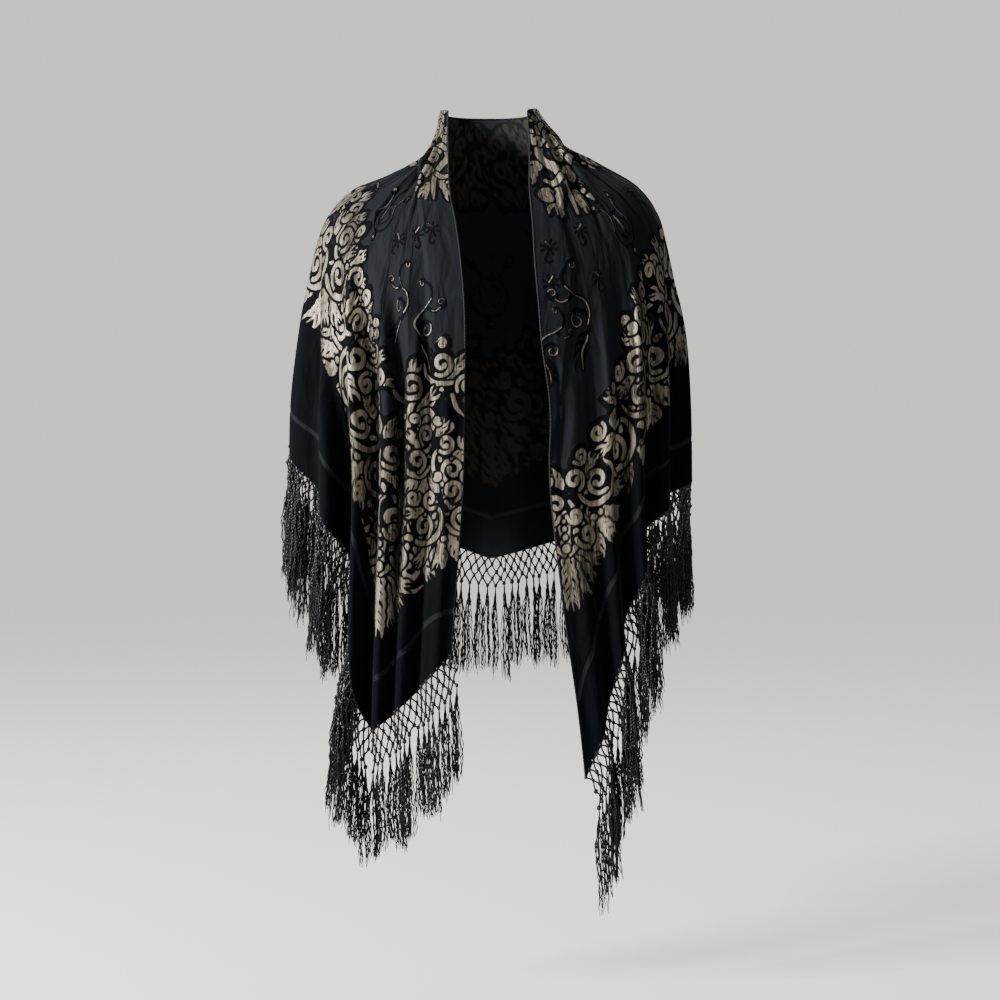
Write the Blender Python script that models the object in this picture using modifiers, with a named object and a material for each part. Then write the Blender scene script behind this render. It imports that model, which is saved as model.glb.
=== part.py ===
"""Burnout velvet shawl, as worn open at the front: one wall of cloth and the knotted fringe along its hem.

Metres, +Z up, the open front towards -Y. The origin is the nape, the middle of the neck edge at the back.
The cloth is lofted through rings. A place on it is (ring, around): ring counts rows of RINGS from the neck edge down,
and around runs from 0 at the left opening edge over the left side, the back and the right side to 1 at the right one.
"""

from collections import namedtuple

import bmesh
import bpy
import numpy as np

WALL = 0.0020
# Between the cloth's edge and the heading strip of the fringe
SEAM_GAP = 0.0007
# Added to the gap where the hem runs steeply down through a fold, so that the straight cells of the strip clear it
STEEP_GAP = 0.0020

# Where the left side and the middle of the back lie in the around direction. The right side mirrors the left one.
SIDE = 0.30
BACK = 0.50

# Roundness of the rings seen from above: 2 is an ellipse, more is squarer
SQUARENESS = 2.4
# The widest that an opening edge may lie, as a share of the ring's half width
WIDEST_EDGE = 0.995
# How late a ring on the shoulders drops from the side towards front and back
SHOULDER_ROLL = 1.5

# Fringe: a heading strip along the hem, divided into cells, and the strands drawn out of it. Strands are spaced along
# the hem, and where it is steep they keep a level distance as well. A strand's bends are shares of its length.
STRIP_HEIGHT = 0.0028
STRIP_THICKNESS = 0.0016
STRIP_CELL = 0.0070
STRAND_SPACING = 0.0100
STRAND_SPACING_LEVEL = 0.0036
STRAND_LENGTH = 0.146
STRAND_UNEVEN = 0.012
STRAND_ROOT = 0.0022
STRAND_TIP = 0.0015
STRAND_BENDS = (0.09, 0.50, 1.00)
# Corners of a strand's root as its face lists them: -1 or 1 along the hem, then 1 outside and -1 inside
ROOT_CORNERS = ((-1, 1), (1, 1), (1, -1), (-1, -1))

# Mesh density: distance between columns of the cloth at the fronts and at the back, how far from an opening edge
# the first passes into the second, and rings of its upper rows
FRONT_COLUMN = 0.0066
BACK_COLUMN = 0.0180
WIDER_FROM = 0.17
WIDEST_FROM = 0.33
SHOULDER_ROWS = (0.0, 0.45, 0.9, 1.4, 1.9, 2.4, 2.9, 3.4, 4.0)
LOWER_ROWS = 9
# The ring along which the columns are spaced
GIRTH_RING = 8.0

Ring = namedtuple(
    "Ring",
    "z_left z_right z_front z_back half_left half_right y_front y_back y_side edge_left edge_right",
)
RINGS = (
    Ring(-0.004, -0.002, -0.014, 0.000, 0.057, 0.054, -0.092, 0.000, -0.050, 0.0480, 0.0430),
    Ring(-0.054, -0.042, -0.066, -0.034, 0.074, 0.083, -0.112, 0.014, -0.052, 0.0480, 0.0460),
    Ring(-0.081, -0.067, -0.116, -0.078, 0.118, 0.130, -0.145, 0.030, -0.055, 0.0460, 0.0460),
    Ring(-0.103, -0.093, -0.160, -0.124, 0.168, 0.176, -0.170, 0.043, -0.057, 0.0380, 0.0490),
    Ring(-0.139, -0.133, -0.204, -0.172, 0.198, 0.203, -0.188, 0.050, -0.058, 0.0320, 0.0510),
    Ring(-0.200, -0.200, -0.252, -0.224, 0.213, 0.216, -0.198, 0.053, -0.058, 0.0280, 0.0550),
    Ring(-0.270, -0.270, -0.300, -0.285, 0.225, 0.228, -0.200, 0.052, -0.058, 0.0270, 0.0590),
    Ring(-0.360, -0.360, -0.368, -0.364, 0.236, 0.234, -0.196, 0.052, -0.058, 0.0280, 0.0680),
    Ring(-0.460, -0.460, -0.460, -0.460, 0.238, 0.236, -0.190, 0.056, -0.058, 0.0300, 0.0690),
    Ring(-0.600, -0.600, -0.600, -0.600, 0.239, 0.237, -0.185, 0.060, -0.058, 0.0400, 0.0850),
    Ring(-0.720, -0.720, -0.720, -0.720, 0.239, 0.237, -0.180, 0.060, -0.058, 0.0480, 0.1020),
    Ring(-0.840, -0.840, -0.840, -0.840, 0.239, 0.237, -0.176, 0.060, -0.058, 0.0500, 0.1130),
    Ring(-1.000, -1.000, -1.000, -1.000, 0.239, 0.237, -0.172, 0.060, -0.058, 0.0500, 0.1180),
)

# Height of the hem round the cloth. It falls to a corner at each front and to a soft point at the back.
Hem = namedtuple("Hem", "around z")
HEM = (
    Hem(0.000, -0.645),
    Hem(0.030, -0.674),
    Hem(0.055, -0.698),
    Hem(0.078, -0.716),
    Hem(0.104, -0.736),
    Hem(0.116, -0.722),
    Hem(0.126, -0.690),
    Hem(0.134, -0.628),
    Hem(0.142, -0.572),
    Hem(0.152, -0.534),
    Hem(0.168, -0.508),
    Hem(0.185, -0.481),
    Hem(0.210, -0.453),
    Hem(0.232, -0.427),
    Hem(0.260, -0.409),
    Hem(0.290, -0.404),
    Hem(0.330, -0.418),
    Hem(0.380, -0.456),
    Hem(0.440, -0.512),
    Hem(0.500, -0.545),
    Hem(0.560, -0.520),
    Hem(0.610, -0.478),
    Hem(0.660, -0.446),
    Hem(0.710, -0.438),
    Hem(0.755, -0.448),
    Hem(0.810, -0.472),
    Hem(0.842, -0.499),
    Hem(0.858, -0.524),
    Hem(0.872, -0.558),
    Hem(0.890, -0.594),
    Hem(0.906, -0.631),
    Hem(0.924, -0.667),
    Hem(0.941, -0.702),
    Hem(0.956, -0.732),
    Hem(0.980, -0.763),
    Hem(1.000, -0.786),
)

# Folds: around at the top and at the bottom, the heights where each sets in and is full, its half width there,
# and how far it stands out (a trough is negative)
Fold = namedtuple("Fold", "top low z_top z_full half_width stand")
FOLDS = (
    # left front, from the opening edge outwards
    Fold(0.026, 0.018, -0.26, -0.42, 0.012, 0.005),
    Fold(0.050, 0.044, -0.20, -0.40, 0.013, -0.006),
    Fold(0.082, 0.064, -0.16, -0.34, 0.016, 0.008),
    Fold(0.100, 0.077, -0.20, -0.36, 0.012, -0.007),
    Fold(0.118, 0.093, -0.17, -0.36, 0.015, 0.012),
    Fold(0.146, 0.112, -0.19, -0.38, 0.014, -0.010),
    Fold(0.172, 0.130, -0.14, -0.34, 0.018, 0.016),
    Fold(0.202, 0.151, -0.18, -0.44, 0.021, -0.019),
    Fold(0.214, 0.176, -0.14, -0.38, 0.018, 0.008),
    # left side
    Fold(0.236, 0.205, -0.16, -0.34, 0.022, -0.010),
    Fold(0.262, 0.238, -0.13, -0.30, 0.024, 0.008),
    Fold(0.284, 0.268, -0.15, -0.32, 0.026, -0.011),
    Fold(0.312, 0.300, -0.13, -0.30, 0.028, 0.003),
    # back, fanning out from the nape
    Fold(0.338, 0.330, -0.12, -0.34, 0.034, -0.013),
    Fold(0.366, 0.360, -0.08, -0.30, 0.034, 0.010),
    Fold(0.392, 0.388, -0.10, -0.32, 0.030, -0.012),
    Fold(0.424, 0.420, -0.06, -0.26, 0.038, 0.012),
    Fold(0.456, 0.452, -0.09, -0.34, 0.034, -0.010),
    Fold(0.490, 0.488, -0.07, -0.36, 0.040, 0.009),
    Fold(0.522, 0.526, -0.10, -0.30, 0.034, -0.013),
    Fold(0.556, 0.560, -0.06, -0.28, 0.038, 0.011),
    Fold(0.590, 0.596, -0.09, -0.34, 0.034, -0.012),
    Fold(0.622, 0.628, -0.07, -0.30, 0.034, 0.012),
    Fold(0.652, 0.660, -0.12, -0.33, 0.032, -0.012),
    # right side
    Fold(0.684, 0.694, -0.13, -0.30, 0.028, 0.003),
    Fold(0.714, 0.726, -0.15, -0.34, 0.026, -0.011),
    Fold(0.742, 0.758, -0.13, -0.31, 0.024, 0.009),
    Fold(0.768, 0.790, -0.16, -0.36, 0.022, -0.010),
    # right front, towards the opening edge
    Fold(0.792, 0.822, -0.14, -0.36, 0.020, 0.008),
    Fold(0.818, 0.846, -0.18, -0.42, 0.016, -0.013),
    Fold(0.842, 0.872, -0.14, -0.34, 0.018, 0.014),
    Fold(0.872, 0.894, -0.20, -0.40, 0.016, -0.010),
    Fold(0.902, 0.916, -0.18, -0.38, 0.016, 0.008),
    Fold(0.930, 0.940, -0.22, -0.44, 0.014, -0.007),
    Fold(0.962, 0.966, -0.26, -0.44, 0.014, 0.005),
)

# Laps: the cloth beside each opening edge is turned back on itself, one thickness proud, as far as this line
Lap = namedtuple("Lap", "z around_left around_right")
LAPS = (
    Lap(-0.020, 0.210, 0.720),
    Lap(-0.045, 0.200, 0.765),
    Lap(-0.070, 0.165, 0.835),
    Lap(-0.100, 0.095, 0.895),
    Lap(-0.143, 0.066, 0.945),
    Lap(-0.200, 0.050, 0.942),
    Lap(-0.280, 0.045, 0.960),
    Lap(-0.450, 0.041, 1.010),
    Lap(-0.700, 0.039, 1.060),
)
LAP_STAND = 0.0036
LAP_SOFTNESS = 0.0065

# Sampling of the surface that everything is read from, and of each quarter of a ring
FINE_ROWS = 181
FINE_COLUMNS = 901
QUARTER_SAMPLES = 240

# Sampling of the hem: first number of samples, then metres between them, and over how many a direction is evened
HEM_SAMPLES = 600
HEM_STEP = 0.001
HEM_EVENING = 4
# Samples of around over which the corners between the rows of HEM are rounded
HEM_ROUNDING = 4

VELVET_COLOUR = (0.012, 0.013, 0.016)
VELVET_ROUGHNESS = 0.75
YARN_COLOUR = (0.008, 0.008, 0.010)
YARN_ROUGHNESS = 0.55

# Stretches of fringe: around where each starts and ends
Run = namedtuple("Run", "name start end seed")
RUNS = (
    Run("fringe_left_inner", 0.0005, 0.1035, 11),
    Run("fringe_left_outer", 0.1050, 0.2950, 12),
    Run("fringe_back", 0.2965, 0.7100, 13),
    Run("fringe_right_outer", 0.7115, 0.9995, 14),
)


def column(name, ring):
    """A column of RINGS at fractional ring numbers, on a smooth curve through its rows."""
    values = np.array([getattr(row, name) for row in RINGS])
    last = len(values) - 1
    ring = np.clip(ring, 0, last)
    i = np.minimum(np.floor(ring).astype(int), last - 1)
    f = ring - i
    before = values[np.maximum(i - 1, 0)]
    here = values[i]
    there = values[i + 1]
    after = values[np.minimum(i + 2, last)]
    slope_here = (there - before) / 2
    slope_there = (after - here) / 2
    return (
        (2 * f**3 - 3 * f**2 + 1) * here
        + (f**3 - 2 * f**2 + f) * slope_here
        + (3 * f**2 - 2 * f**3) * there
        + (f**3 - f**2) * slope_there
    )


def quarter(half, edge, depth, share):
    """Points (outwards, forwards) of a quarter ring, share 0 to 1 along its length from the edge to the side."""
    start = np.arccos(min(edge / half, WIDEST_EDGE) ** (SQUARENESS / 2))
    turn = np.linspace(start, 0, QUARTER_SAMPLES)
    out = half * np.cos(turn) ** (2 / SQUARENESS)
    forward = depth * np.abs(np.sin(turn)) ** (2 / SQUARENESS)
    along = np.concatenate([[0], np.cumsum(np.hypot(np.diff(out), np.diff(forward)))])
    wanted = share * along[-1]
    return np.interp(wanted, along, out), np.interp(wanted, along, forward)


def ring_points(ring, around):
    """Points of one ring, without its folds."""
    size = Ring(*(float(column(name, np.array(ring))) for name in Ring._fields))
    points = np.zeros((len(around), 3))
    for side, place, half, edge, z_side in (
        (-1, around, size.half_left, size.edge_left, size.z_left),
        (1, 1 - around, size.half_right, size.edge_right, size.z_right),
    ):
        for middle, y_middle, z_middle, middle_edge in (
            (0.0, size.y_front, size.z_front, edge),
            (BACK, size.y_back, size.z_back, 0.0),
        ):
            share = (place - middle) / (SIDE - middle)
            here = (share >= 0) & (share <= 1)
            depth = y_middle - size.y_side
            out, forward = quarter(half, middle_edge, depth, share[here])
            lean = np.abs(forward / depth)
            points[here, 0] = side * out
            points[here, 1] = size.y_side + forward
            points[here, 2] = z_side + (z_middle - z_side) * lean**SHOULDER_ROLL
    return points


def smooth(x):
    """0 below 0, 1 above 1, and a soft step between."""
    x = np.clip(x, 0, 1)
    return x * x * (3 - 2 * x)


def fold_relief(around, height, girth):
    """How far the folds and laps stand out, for grids of around, z and metres per unit of around."""
    relief = np.zeros_like(around)
    for fold in FOLDS:
        down = smooth((fold.z_top - height) / (fold.z_top - fold.z_full))
        place = fold.top + (fold.low - fold.top) * down
        off = np.abs(around - place) * girth / fold.half_width
        relief += fold.stand * down * np.where(off < 1, np.cos(off * np.pi / 2) ** 2, 0)
    drop = [-lap.z for lap in LAPS]
    left = np.interp(-height, drop, [lap.around_left for lap in LAPS])
    right = np.interp(-height, drop, [lap.around_right for lap in LAPS])
    inside = np.maximum(left - around, around - right) * girth
    relief += LAP_STAND * smooth(0.5 + inside / LAP_SOFTNESS)
    return relief


def outward(points):
    """Unit normals of a grid of points, facing away from the wearer."""
    along = np.gradient(points, axis=1)
    down = np.gradient(points, axis=0)
    normal = np.cross(along, down)
    return normal / np.maximum(np.linalg.norm(normal, axis=2, keepdims=True), 1e-12)


def rounded(values, reach):
    """Values averaged with their neighbours as far as reach samples away, so that corners turn softly."""
    padded = np.pad(values, reach, mode="reflect", reflect_type="odd")
    return sum(padded[k : k + len(values)] for k in range(2 * reach + 1)) / (2 * reach + 1)


class Surface:
    """The outer face of the cloth as a fine grid, read at any ring and around."""

    def __init__(self):
        self.rings = np.linspace(0, len(RINGS) - 1, FINE_ROWS)
        self.around = np.linspace(0, 1, FINE_COLUMNS)
        plain = np.stack([ring_points(ring, self.around) for ring in self.rings])
        girth = np.linalg.norm(np.gradient(plain, axis=1), axis=2) * (FINE_COLUMNS - 1)
        around = np.broadcast_to(self.around, girth.shape)
        relief = fold_relief(around, plain[:, :, 2], girth)
        self.points = plain + outward(plain) * relief[:, :, None]
        self.normals = outward(self.points)
        hem = np.interp(self.around, [row.around for row in HEM], [row.z for row in HEM])
        for _ in range(2):
            hem = rounded(hem, HEM_ROUNDING)
        self.hem = hem

    def read(self, grid, ring, around):
        """A grid's value at ring and around, between its four nearest samples."""
        r = np.clip(ring / self.rings[-1], 0, 1) * (FINE_ROWS - 1)
        a = np.clip(around, 0, 1) * (FINE_COLUMNS - 1)
        i = min(int(r), FINE_ROWS - 2)
        j = min(int(a), FINE_COLUMNS - 2)
        f = r - i
        g = a - j
        upper = grid[i, j] * (1 - g) + grid[i, j + 1] * g
        lower = grid[i + 1, j] * (1 - g) + grid[i + 1, j + 1] * g
        return upper * (1 - f) + lower * f

    def ring_at(self, around, z):
        """The ring number at which the cloth is at height z."""
        j = int(round(np.clip(around, 0, 1) * (FINE_COLUMNS - 1)))
        return float(np.interp(-z, -self.points[:, j, 2], self.rings))

    def hem_ring(self, around):
        """The ring number of the hem."""
        return self.ring_at(around, float(np.interp(around, self.around, self.hem)))


def cloth_columns(surface):
    """The around of each column of the cloth's mesh: close together at the folded fronts, wider at the back."""
    row = surface.points[int(round(GIRTH_RING / surface.rings[-1] * (FINE_ROWS - 1)))]
    step = np.linalg.norm(np.diff(row, axis=0), axis=1)
    middle = (surface.around[1:] + surface.around[:-1]) / 2
    near_back = smooth((np.minimum(middle, 1 - middle) - WIDER_FROM) / (WIDEST_FROM - WIDER_FROM))
    wanted = FRONT_COLUMN + (BACK_COLUMN - FRONT_COLUMN) * near_back
    count = np.concatenate([[0], np.cumsum(step / wanted)])
    return np.interp(np.linspace(0, count[-1], int(round(count[-1])) + 1), count, surface.around)


def new_material(name, colour, roughness):
    """A Principled material with a plain colour."""
    material = bpy.data.materials.new(name)
    material.use_nodes = True
    shader = material.node_tree.nodes["Principled BSDF"]
    shader.inputs["Base Color"].default_value = (*colour, 1)
    shader.inputs["Roughness"].default_value = roughness
    shader.inputs["Metallic"].default_value = 0
    return material


def add_object(name, mesh, material, collection):
    """Links a mesh as a named object with its material."""
    mesh.materials.append(material)
    mesh.shade_smooth()
    thing = bpy.data.objects.new(name, mesh)
    collection.objects.link(thing)
    return thing


def build_cloth(surface, columns, collection):
    """The velvet: a grid laid on the surface and given its thickness inwards."""
    rows = len(SHOULDER_ROWS) + LOWER_ROWS
    bm = bmesh.new()
    bmesh.ops.create_grid(bm, x_segments=len(columns) - 1, y_segments=rows - 1, size=0.5)
    for vert in bm.verts:
        around = columns[int(round((vert.co.x + 0.5) * (len(columns) - 1)))]
        row = int(round((0.5 - vert.co.y) * (rows - 1)))
        if row < len(SHOULDER_ROWS):
            ring = SHOULDER_ROWS[row]
        else:
            share = (row - len(SHOULDER_ROWS) + 1) / LOWER_ROWS
            ring = SHOULDER_ROWS[-1] + (surface.hem_ring(around) - SHOULDER_ROWS[-1]) * share
        vert.co = surface.read(surface.points, ring, around)
    bmesh.ops.reverse_faces(bm, faces=bm.faces)
    mesh = bpy.data.meshes.new("shawl_cloth")
    bm.to_mesh(mesh)
    bm.free()
    velvet = new_material("burnout velvet", VELVET_COLOUR, VELVET_ROUGHNESS)
    cloth = add_object("shawl_cloth", mesh, velvet, collection)
    wall = cloth.modifiers.new("wall", "SOLIDIFY")
    wall.thickness = WALL
    wall.offset = -1
    return cloth


def between(around, columns, grid):
    """Rows of a grid of one row a column, read at any around."""
    return np.stack([np.interp(around, columns, grid[:, k]) for k in range(grid.shape[1])], axis=1)


def evened(grid, reach):
    """Rows of unit vectors, each averaged with its neighbours as far as reach samples away."""
    padded = np.pad(grid, ((reach, reach), (0, 0)), mode="edge")
    total = sum(padded[k : k + len(grid)] for k in range(2 * reach + 1))
    return total / np.linalg.norm(total, axis=1, keepdims=True)


class HemLine:
    """The edge of the cloth's mesh as a line along the middle of the wall, with the direction out of the cloth."""

    def __init__(self, surface, columns, start, end):
        rings = [surface.hem_ring(place) for place in columns]
        edge = np.array([surface.read(surface.points, r, a) for r, a in zip(rings, columns)])
        facing = np.array([surface.read(surface.normals, r, a) for r, a in zip(rings, columns)])
        around = np.linspace(start, end, HEM_SAMPLES)
        for _ in range(2):
            steps = np.linalg.norm(np.diff(between(around, columns, edge), axis=0), axis=1)
            length = np.concatenate([[0], np.cumsum(steps)])
            around = np.interp(np.arange(0, length[-1], HEM_STEP), length, around)
        face = between(around, columns, edge)
        normals = evened(between(around, columns, facing), HEM_EVENING)
        self.middle = face - normals * WALL / 2
        along = evened(np.gradient(self.middle, axis=0), HEM_EVENING)
        self.out = evened(np.cross(normals, along), HEM_EVENING)
        self.normals = evened(np.cross(along, self.out), 0)
        moves = np.diff(self.middle, axis=0)
        steps = np.linalg.norm(moves, axis=1)
        level = np.linalg.norm(moves[:, :2], axis=1)
        room = np.minimum(steps / STRAND_SPACING, level / STRAND_SPACING_LEVEL)
        self.length = np.concatenate([[0], np.cumsum(steps)])
        self.room = np.concatenate([[0], np.cumsum(room)])
        steepness = rounded(np.append(1 - level / steps, 0), HEM_EVENING)
        self.gap = SEAM_GAP + STEEP_GAP * steepness

    def at(self, distance, grid):
        """A quantity of the hem at a distance along it."""
        return between(np.array([distance]), self.length, grid)[0]

    def corner(self, distance, down, side):
        """A corner of the heading strip: down from its upper edge, side +1 on the outer face and -1 on the inner."""
        return (
            self.at(distance, self.middle)
            + self.at(distance, self.out) * (np.interp(distance, self.length, self.gap) + down)
            + self.at(distance, self.normals) * side * STRIP_THICKNESS / 2
        )


def strand_path(surface, start, length):
    """Points down a strand that hangs below start, beside its neighbours as the cloth's own lines run."""
    j = int(np.argmin(np.linalg.norm(surface.points[surface_row(surface, start[2])][:, :2] - start[:2], axis=1)))
    line = surface.points[:, j]
    first = np.array([np.interp(-start[2], -line[:, 2], line[:, k]) for k in range(2)])
    points = []
    for share in STRAND_BENDS:
        z = start[2] - length * share
        flat = np.array([np.interp(-z, -line[:, 2], line[:, k]) for k in range(2)])
        points.append(np.array([*(start[:2] + flat - first), z]))
    return points


def surface_row(surface, z):
    """The row of the fine grid nearest to a height below the shoulders."""
    return int(np.argmin(np.abs(surface.points[:, FINE_COLUMNS // 2, 2] - z)))


def build_fringe(run, surface, columns, material, collection):
    """One stretch of fringe: a heading strip along the hem and the strands drawn out of its lower face."""
    hem = HemLine(surface, columns, run.start, run.end)
    count = int(hem.room[-1])
    joints = np.interp(np.linspace(0, hem.room[-1], 2 * count + 1), hem.room, hem.length)
    middles = joints[1::2]
    rng = np.random.default_rng(run.seed)
    bm = bmesh.new()

    stations = [joints[0]]
    root_cells = []
    for middle in [*middles, joints[-1] + STRAND_ROOT / 2]:
        there = middle - STRAND_ROOT / 2
        pieces = max(1, round((there - stations[-1]) / STRIP_CELL))
        stations += list(np.linspace(stations[-1], there, pieces + 1)[1:])
        root_cells.append(len(stations) - 1)
        stations.append(middle + STRAND_ROOT / 2)
    stations.pop()
    frames = []
    for distance in stations:
        places = [(down, side) for down in (0, STRIP_HEIGHT) for side in (1, -1)]
        frames.append([bm.verts.new(hem.corner(distance, *place)) for place in places])
    roots = []
    for k, (a, b) in enumerate(zip(frames, frames[1:])):
        bm.faces.new((a[0], b[0], b[2], a[2]))
        bm.faces.new((a[1], a[3], b[3], b[1]))
        bm.faces.new((a[0], a[1], b[1], b[0]))
        lower = bm.faces.new((a[2], b[2], b[3], a[3]))
        if k in root_cells:
            roots.append(lower)
    for a in (frames[0], frames[-1]):
        bm.faces.new((a[0], a[2], a[3], a[1]))

    for face, middle in zip(roots, middles):
        across = np.cross(hem.at(middle, hem.normals), (0, 0, 1))
        across /= np.linalg.norm(across)
        if across @ (np.array(face.verts[1].co) - np.array(face.verts[0].co)) < 0:
            across = -across
        through = np.cross(across, (0, 0, 1))
        if through @ hem.at(middle, hem.normals) < 0:
            through = -through
        start = np.array(face.calc_center_median()) + hem.at(middle, hem.out) * STRAND_ROOT / 2
        length = STRAND_LENGTH + STRAND_UNEVEN * rng.uniform(-1, 1)
        corners = {vert.co.copy().freeze(): signs for vert, signs in zip(face.verts, ROOT_CORNERS)}
        for share, centre in zip(STRAND_BENDS, strand_path(surface, start, length)):
            half = (STRAND_ROOT + (STRAND_TIP - STRAND_ROOT) * share) / 2
            face = bmesh.ops.extrude_discrete_faces(bm, faces=[face])["faces"][0]
            moved = {}
            for vert in face.verts:
                s, t = corners[min(corners, key=lambda point: (point - vert.co).length)]
                vert.co = centre + across * s * half + through * t * half
                moved[vert.co.copy().freeze()] = (s, t)
            corners = moved
    bmesh.ops.recalc_face_normals(bm, faces=bm.faces)
    mesh = bpy.data.meshes.new(run.name)
    bm.to_mesh(mesh)
    bm.free()
    return add_object(run.name, mesh, material, collection)


def main():
    for thing in list(bpy.data.objects):
        bpy.data.objects.remove(thing, do_unlink=True)
    collection = bpy.data.collections.new("burnout velvet shawl")
    bpy.context.scene.collection.children.link(collection)
    surface = Surface()
    columns = cloth_columns(surface)
    build_cloth(surface, columns, collection)
    for run in RUNS:
        yarn = new_material(f"{run.name} yarn", YARN_COLOUR, YARN_ROUGHNESS)
        build_fringe(run, surface, columns, yarn, collection)


main()
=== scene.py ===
"""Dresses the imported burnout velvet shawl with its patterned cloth, rolled hem and knotted fringe.

Metres, +Z up, the open front towards -Y and the nape at the origin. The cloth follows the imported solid: a
place on it is (ring, around), where ring counts rows of RINGS from the neck edge down, and around runs from 0
at the left opening edge over the left side, the back and the right side to 1 at the right one. The ornament
is laid out on the flat cloth, in metres across (along its girth) and down (from the neck edge).
"""

import logging
from collections import namedtuple
from collections.abc import Sequence
from dataclasses import dataclass
from enum import Enum
from functools import partial

import bpy
import numpy as np
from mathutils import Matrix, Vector


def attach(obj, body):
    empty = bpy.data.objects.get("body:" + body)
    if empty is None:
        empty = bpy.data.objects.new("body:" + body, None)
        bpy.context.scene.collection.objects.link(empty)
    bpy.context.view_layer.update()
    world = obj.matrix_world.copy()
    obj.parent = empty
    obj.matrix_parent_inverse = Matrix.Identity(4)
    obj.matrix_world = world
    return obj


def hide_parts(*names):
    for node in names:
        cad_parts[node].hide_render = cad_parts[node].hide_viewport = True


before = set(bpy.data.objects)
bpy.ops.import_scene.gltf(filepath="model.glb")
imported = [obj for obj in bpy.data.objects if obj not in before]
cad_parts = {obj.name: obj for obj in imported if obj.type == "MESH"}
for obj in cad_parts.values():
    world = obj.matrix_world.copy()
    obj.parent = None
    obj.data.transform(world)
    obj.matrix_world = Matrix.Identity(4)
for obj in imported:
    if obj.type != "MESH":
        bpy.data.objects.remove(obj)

LOG = logging.getLogger("shawl")

# The scale of a wave texture whose bands lie about one metre apart
WAVE_SCALE = 0.3183

# Around where each front's stretch of cloth meets its side's, and the coarser cell of the back, in metres
LEFT_SPLIT = 0.152
RIGHT_SPLIT = 0.846
BACK_CELL = 0.0026

# The drape from the neck edge down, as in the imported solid: the height of each ring at both sides, the front
# and the back, half its width on each side, the y of its front, back and sides, and how far from the middle
# each opening edge hangs
Ring = namedtuple(
    "Ring",
    "z_left z_right z_front z_back half_left half_right y_front y_back y_side edge_left edge_right",
)
RINGS = (
    Ring(-0.004, -0.002, -0.014, 0.000, 0.057, 0.054, -0.092, 0.000, -0.050, 0.0480, 0.0430),
    Ring(-0.054, -0.042, -0.066, -0.034, 0.074, 0.083, -0.112, 0.014, -0.052, 0.0480, 0.0460),
    Ring(-0.081, -0.067, -0.116, -0.078, 0.118, 0.130, -0.145, 0.030, -0.055, 0.0460, 0.0460),
    Ring(-0.103, -0.093, -0.160, -0.124, 0.168, 0.176, -0.170, 0.043, -0.057, 0.0380, 0.0490),
    Ring(-0.139, -0.133, -0.204, -0.172, 0.198, 0.203, -0.188, 0.050, -0.058, 0.0320, 0.0510),
    Ring(-0.200, -0.200, -0.252, -0.224, 0.213, 0.216, -0.198, 0.053, -0.058, 0.0280, 0.0550),
    Ring(-0.270, -0.270, -0.300, -0.285, 0.225, 0.228, -0.200, 0.052, -0.058, 0.0270, 0.0590),
    Ring(-0.360, -0.360, -0.368, -0.364, 0.236, 0.234, -0.196, 0.052, -0.058, 0.0280, 0.0680),
    Ring(-0.460, -0.460, -0.460, -0.460, 0.238, 0.236, -0.190, 0.056, -0.058, 0.0300, 0.0690),
    Ring(-0.600, -0.600, -0.600, -0.600, 0.239, 0.237, -0.185, 0.060, -0.058, 0.0400, 0.0850),
    Ring(-0.720, -0.720, -0.720, -0.720, 0.239, 0.237, -0.180, 0.060, -0.058, 0.0480, 0.1020),
    Ring(-0.840, -0.840, -0.840, -0.840, 0.239, 0.237, -0.176, 0.060, -0.058, 0.0500, 0.1130),
    Ring(-1.000, -1.000, -1.000, -1.000, 0.239, 0.237, -0.172, 0.060, -0.058, 0.0500, 0.1180),
)

# Height of the hem round the cloth
Hem = namedtuple("Hem", "around z")
HEM = (
    Hem(0.000, -0.645),
    Hem(0.030, -0.674),
    Hem(0.055, -0.698),
    Hem(0.078, -0.716),
    Hem(0.104, -0.736),
    Hem(0.116, -0.722),
    Hem(0.126, -0.690),
    Hem(0.134, -0.628),
    Hem(0.142, -0.572),
    Hem(0.152, -0.534),
    Hem(0.168, -0.508),
    Hem(0.185, -0.481),
    Hem(0.210, -0.453),
    Hem(0.232, -0.427),
    Hem(0.260, -0.409),
    Hem(0.290, -0.404),
    Hem(0.330, -0.418),
    Hem(0.380, -0.456),
    Hem(0.440, -0.512),
    Hem(0.500, -0.545),
    Hem(0.560, -0.520),
    Hem(0.610, -0.478),
    Hem(0.660, -0.446),
    Hem(0.710, -0.438),
    Hem(0.755, -0.448),
    Hem(0.810, -0.472),
    Hem(0.842, -0.499),
    Hem(0.858, -0.524),
    Hem(0.872, -0.558),
    Hem(0.890, -0.594),
    Hem(0.906, -0.631),
    Hem(0.924, -0.667),
    Hem(0.941, -0.702),
    Hem(0.956, -0.732),
    Hem(0.980, -0.763),
    Hem(1.000, -0.786),
)

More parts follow.
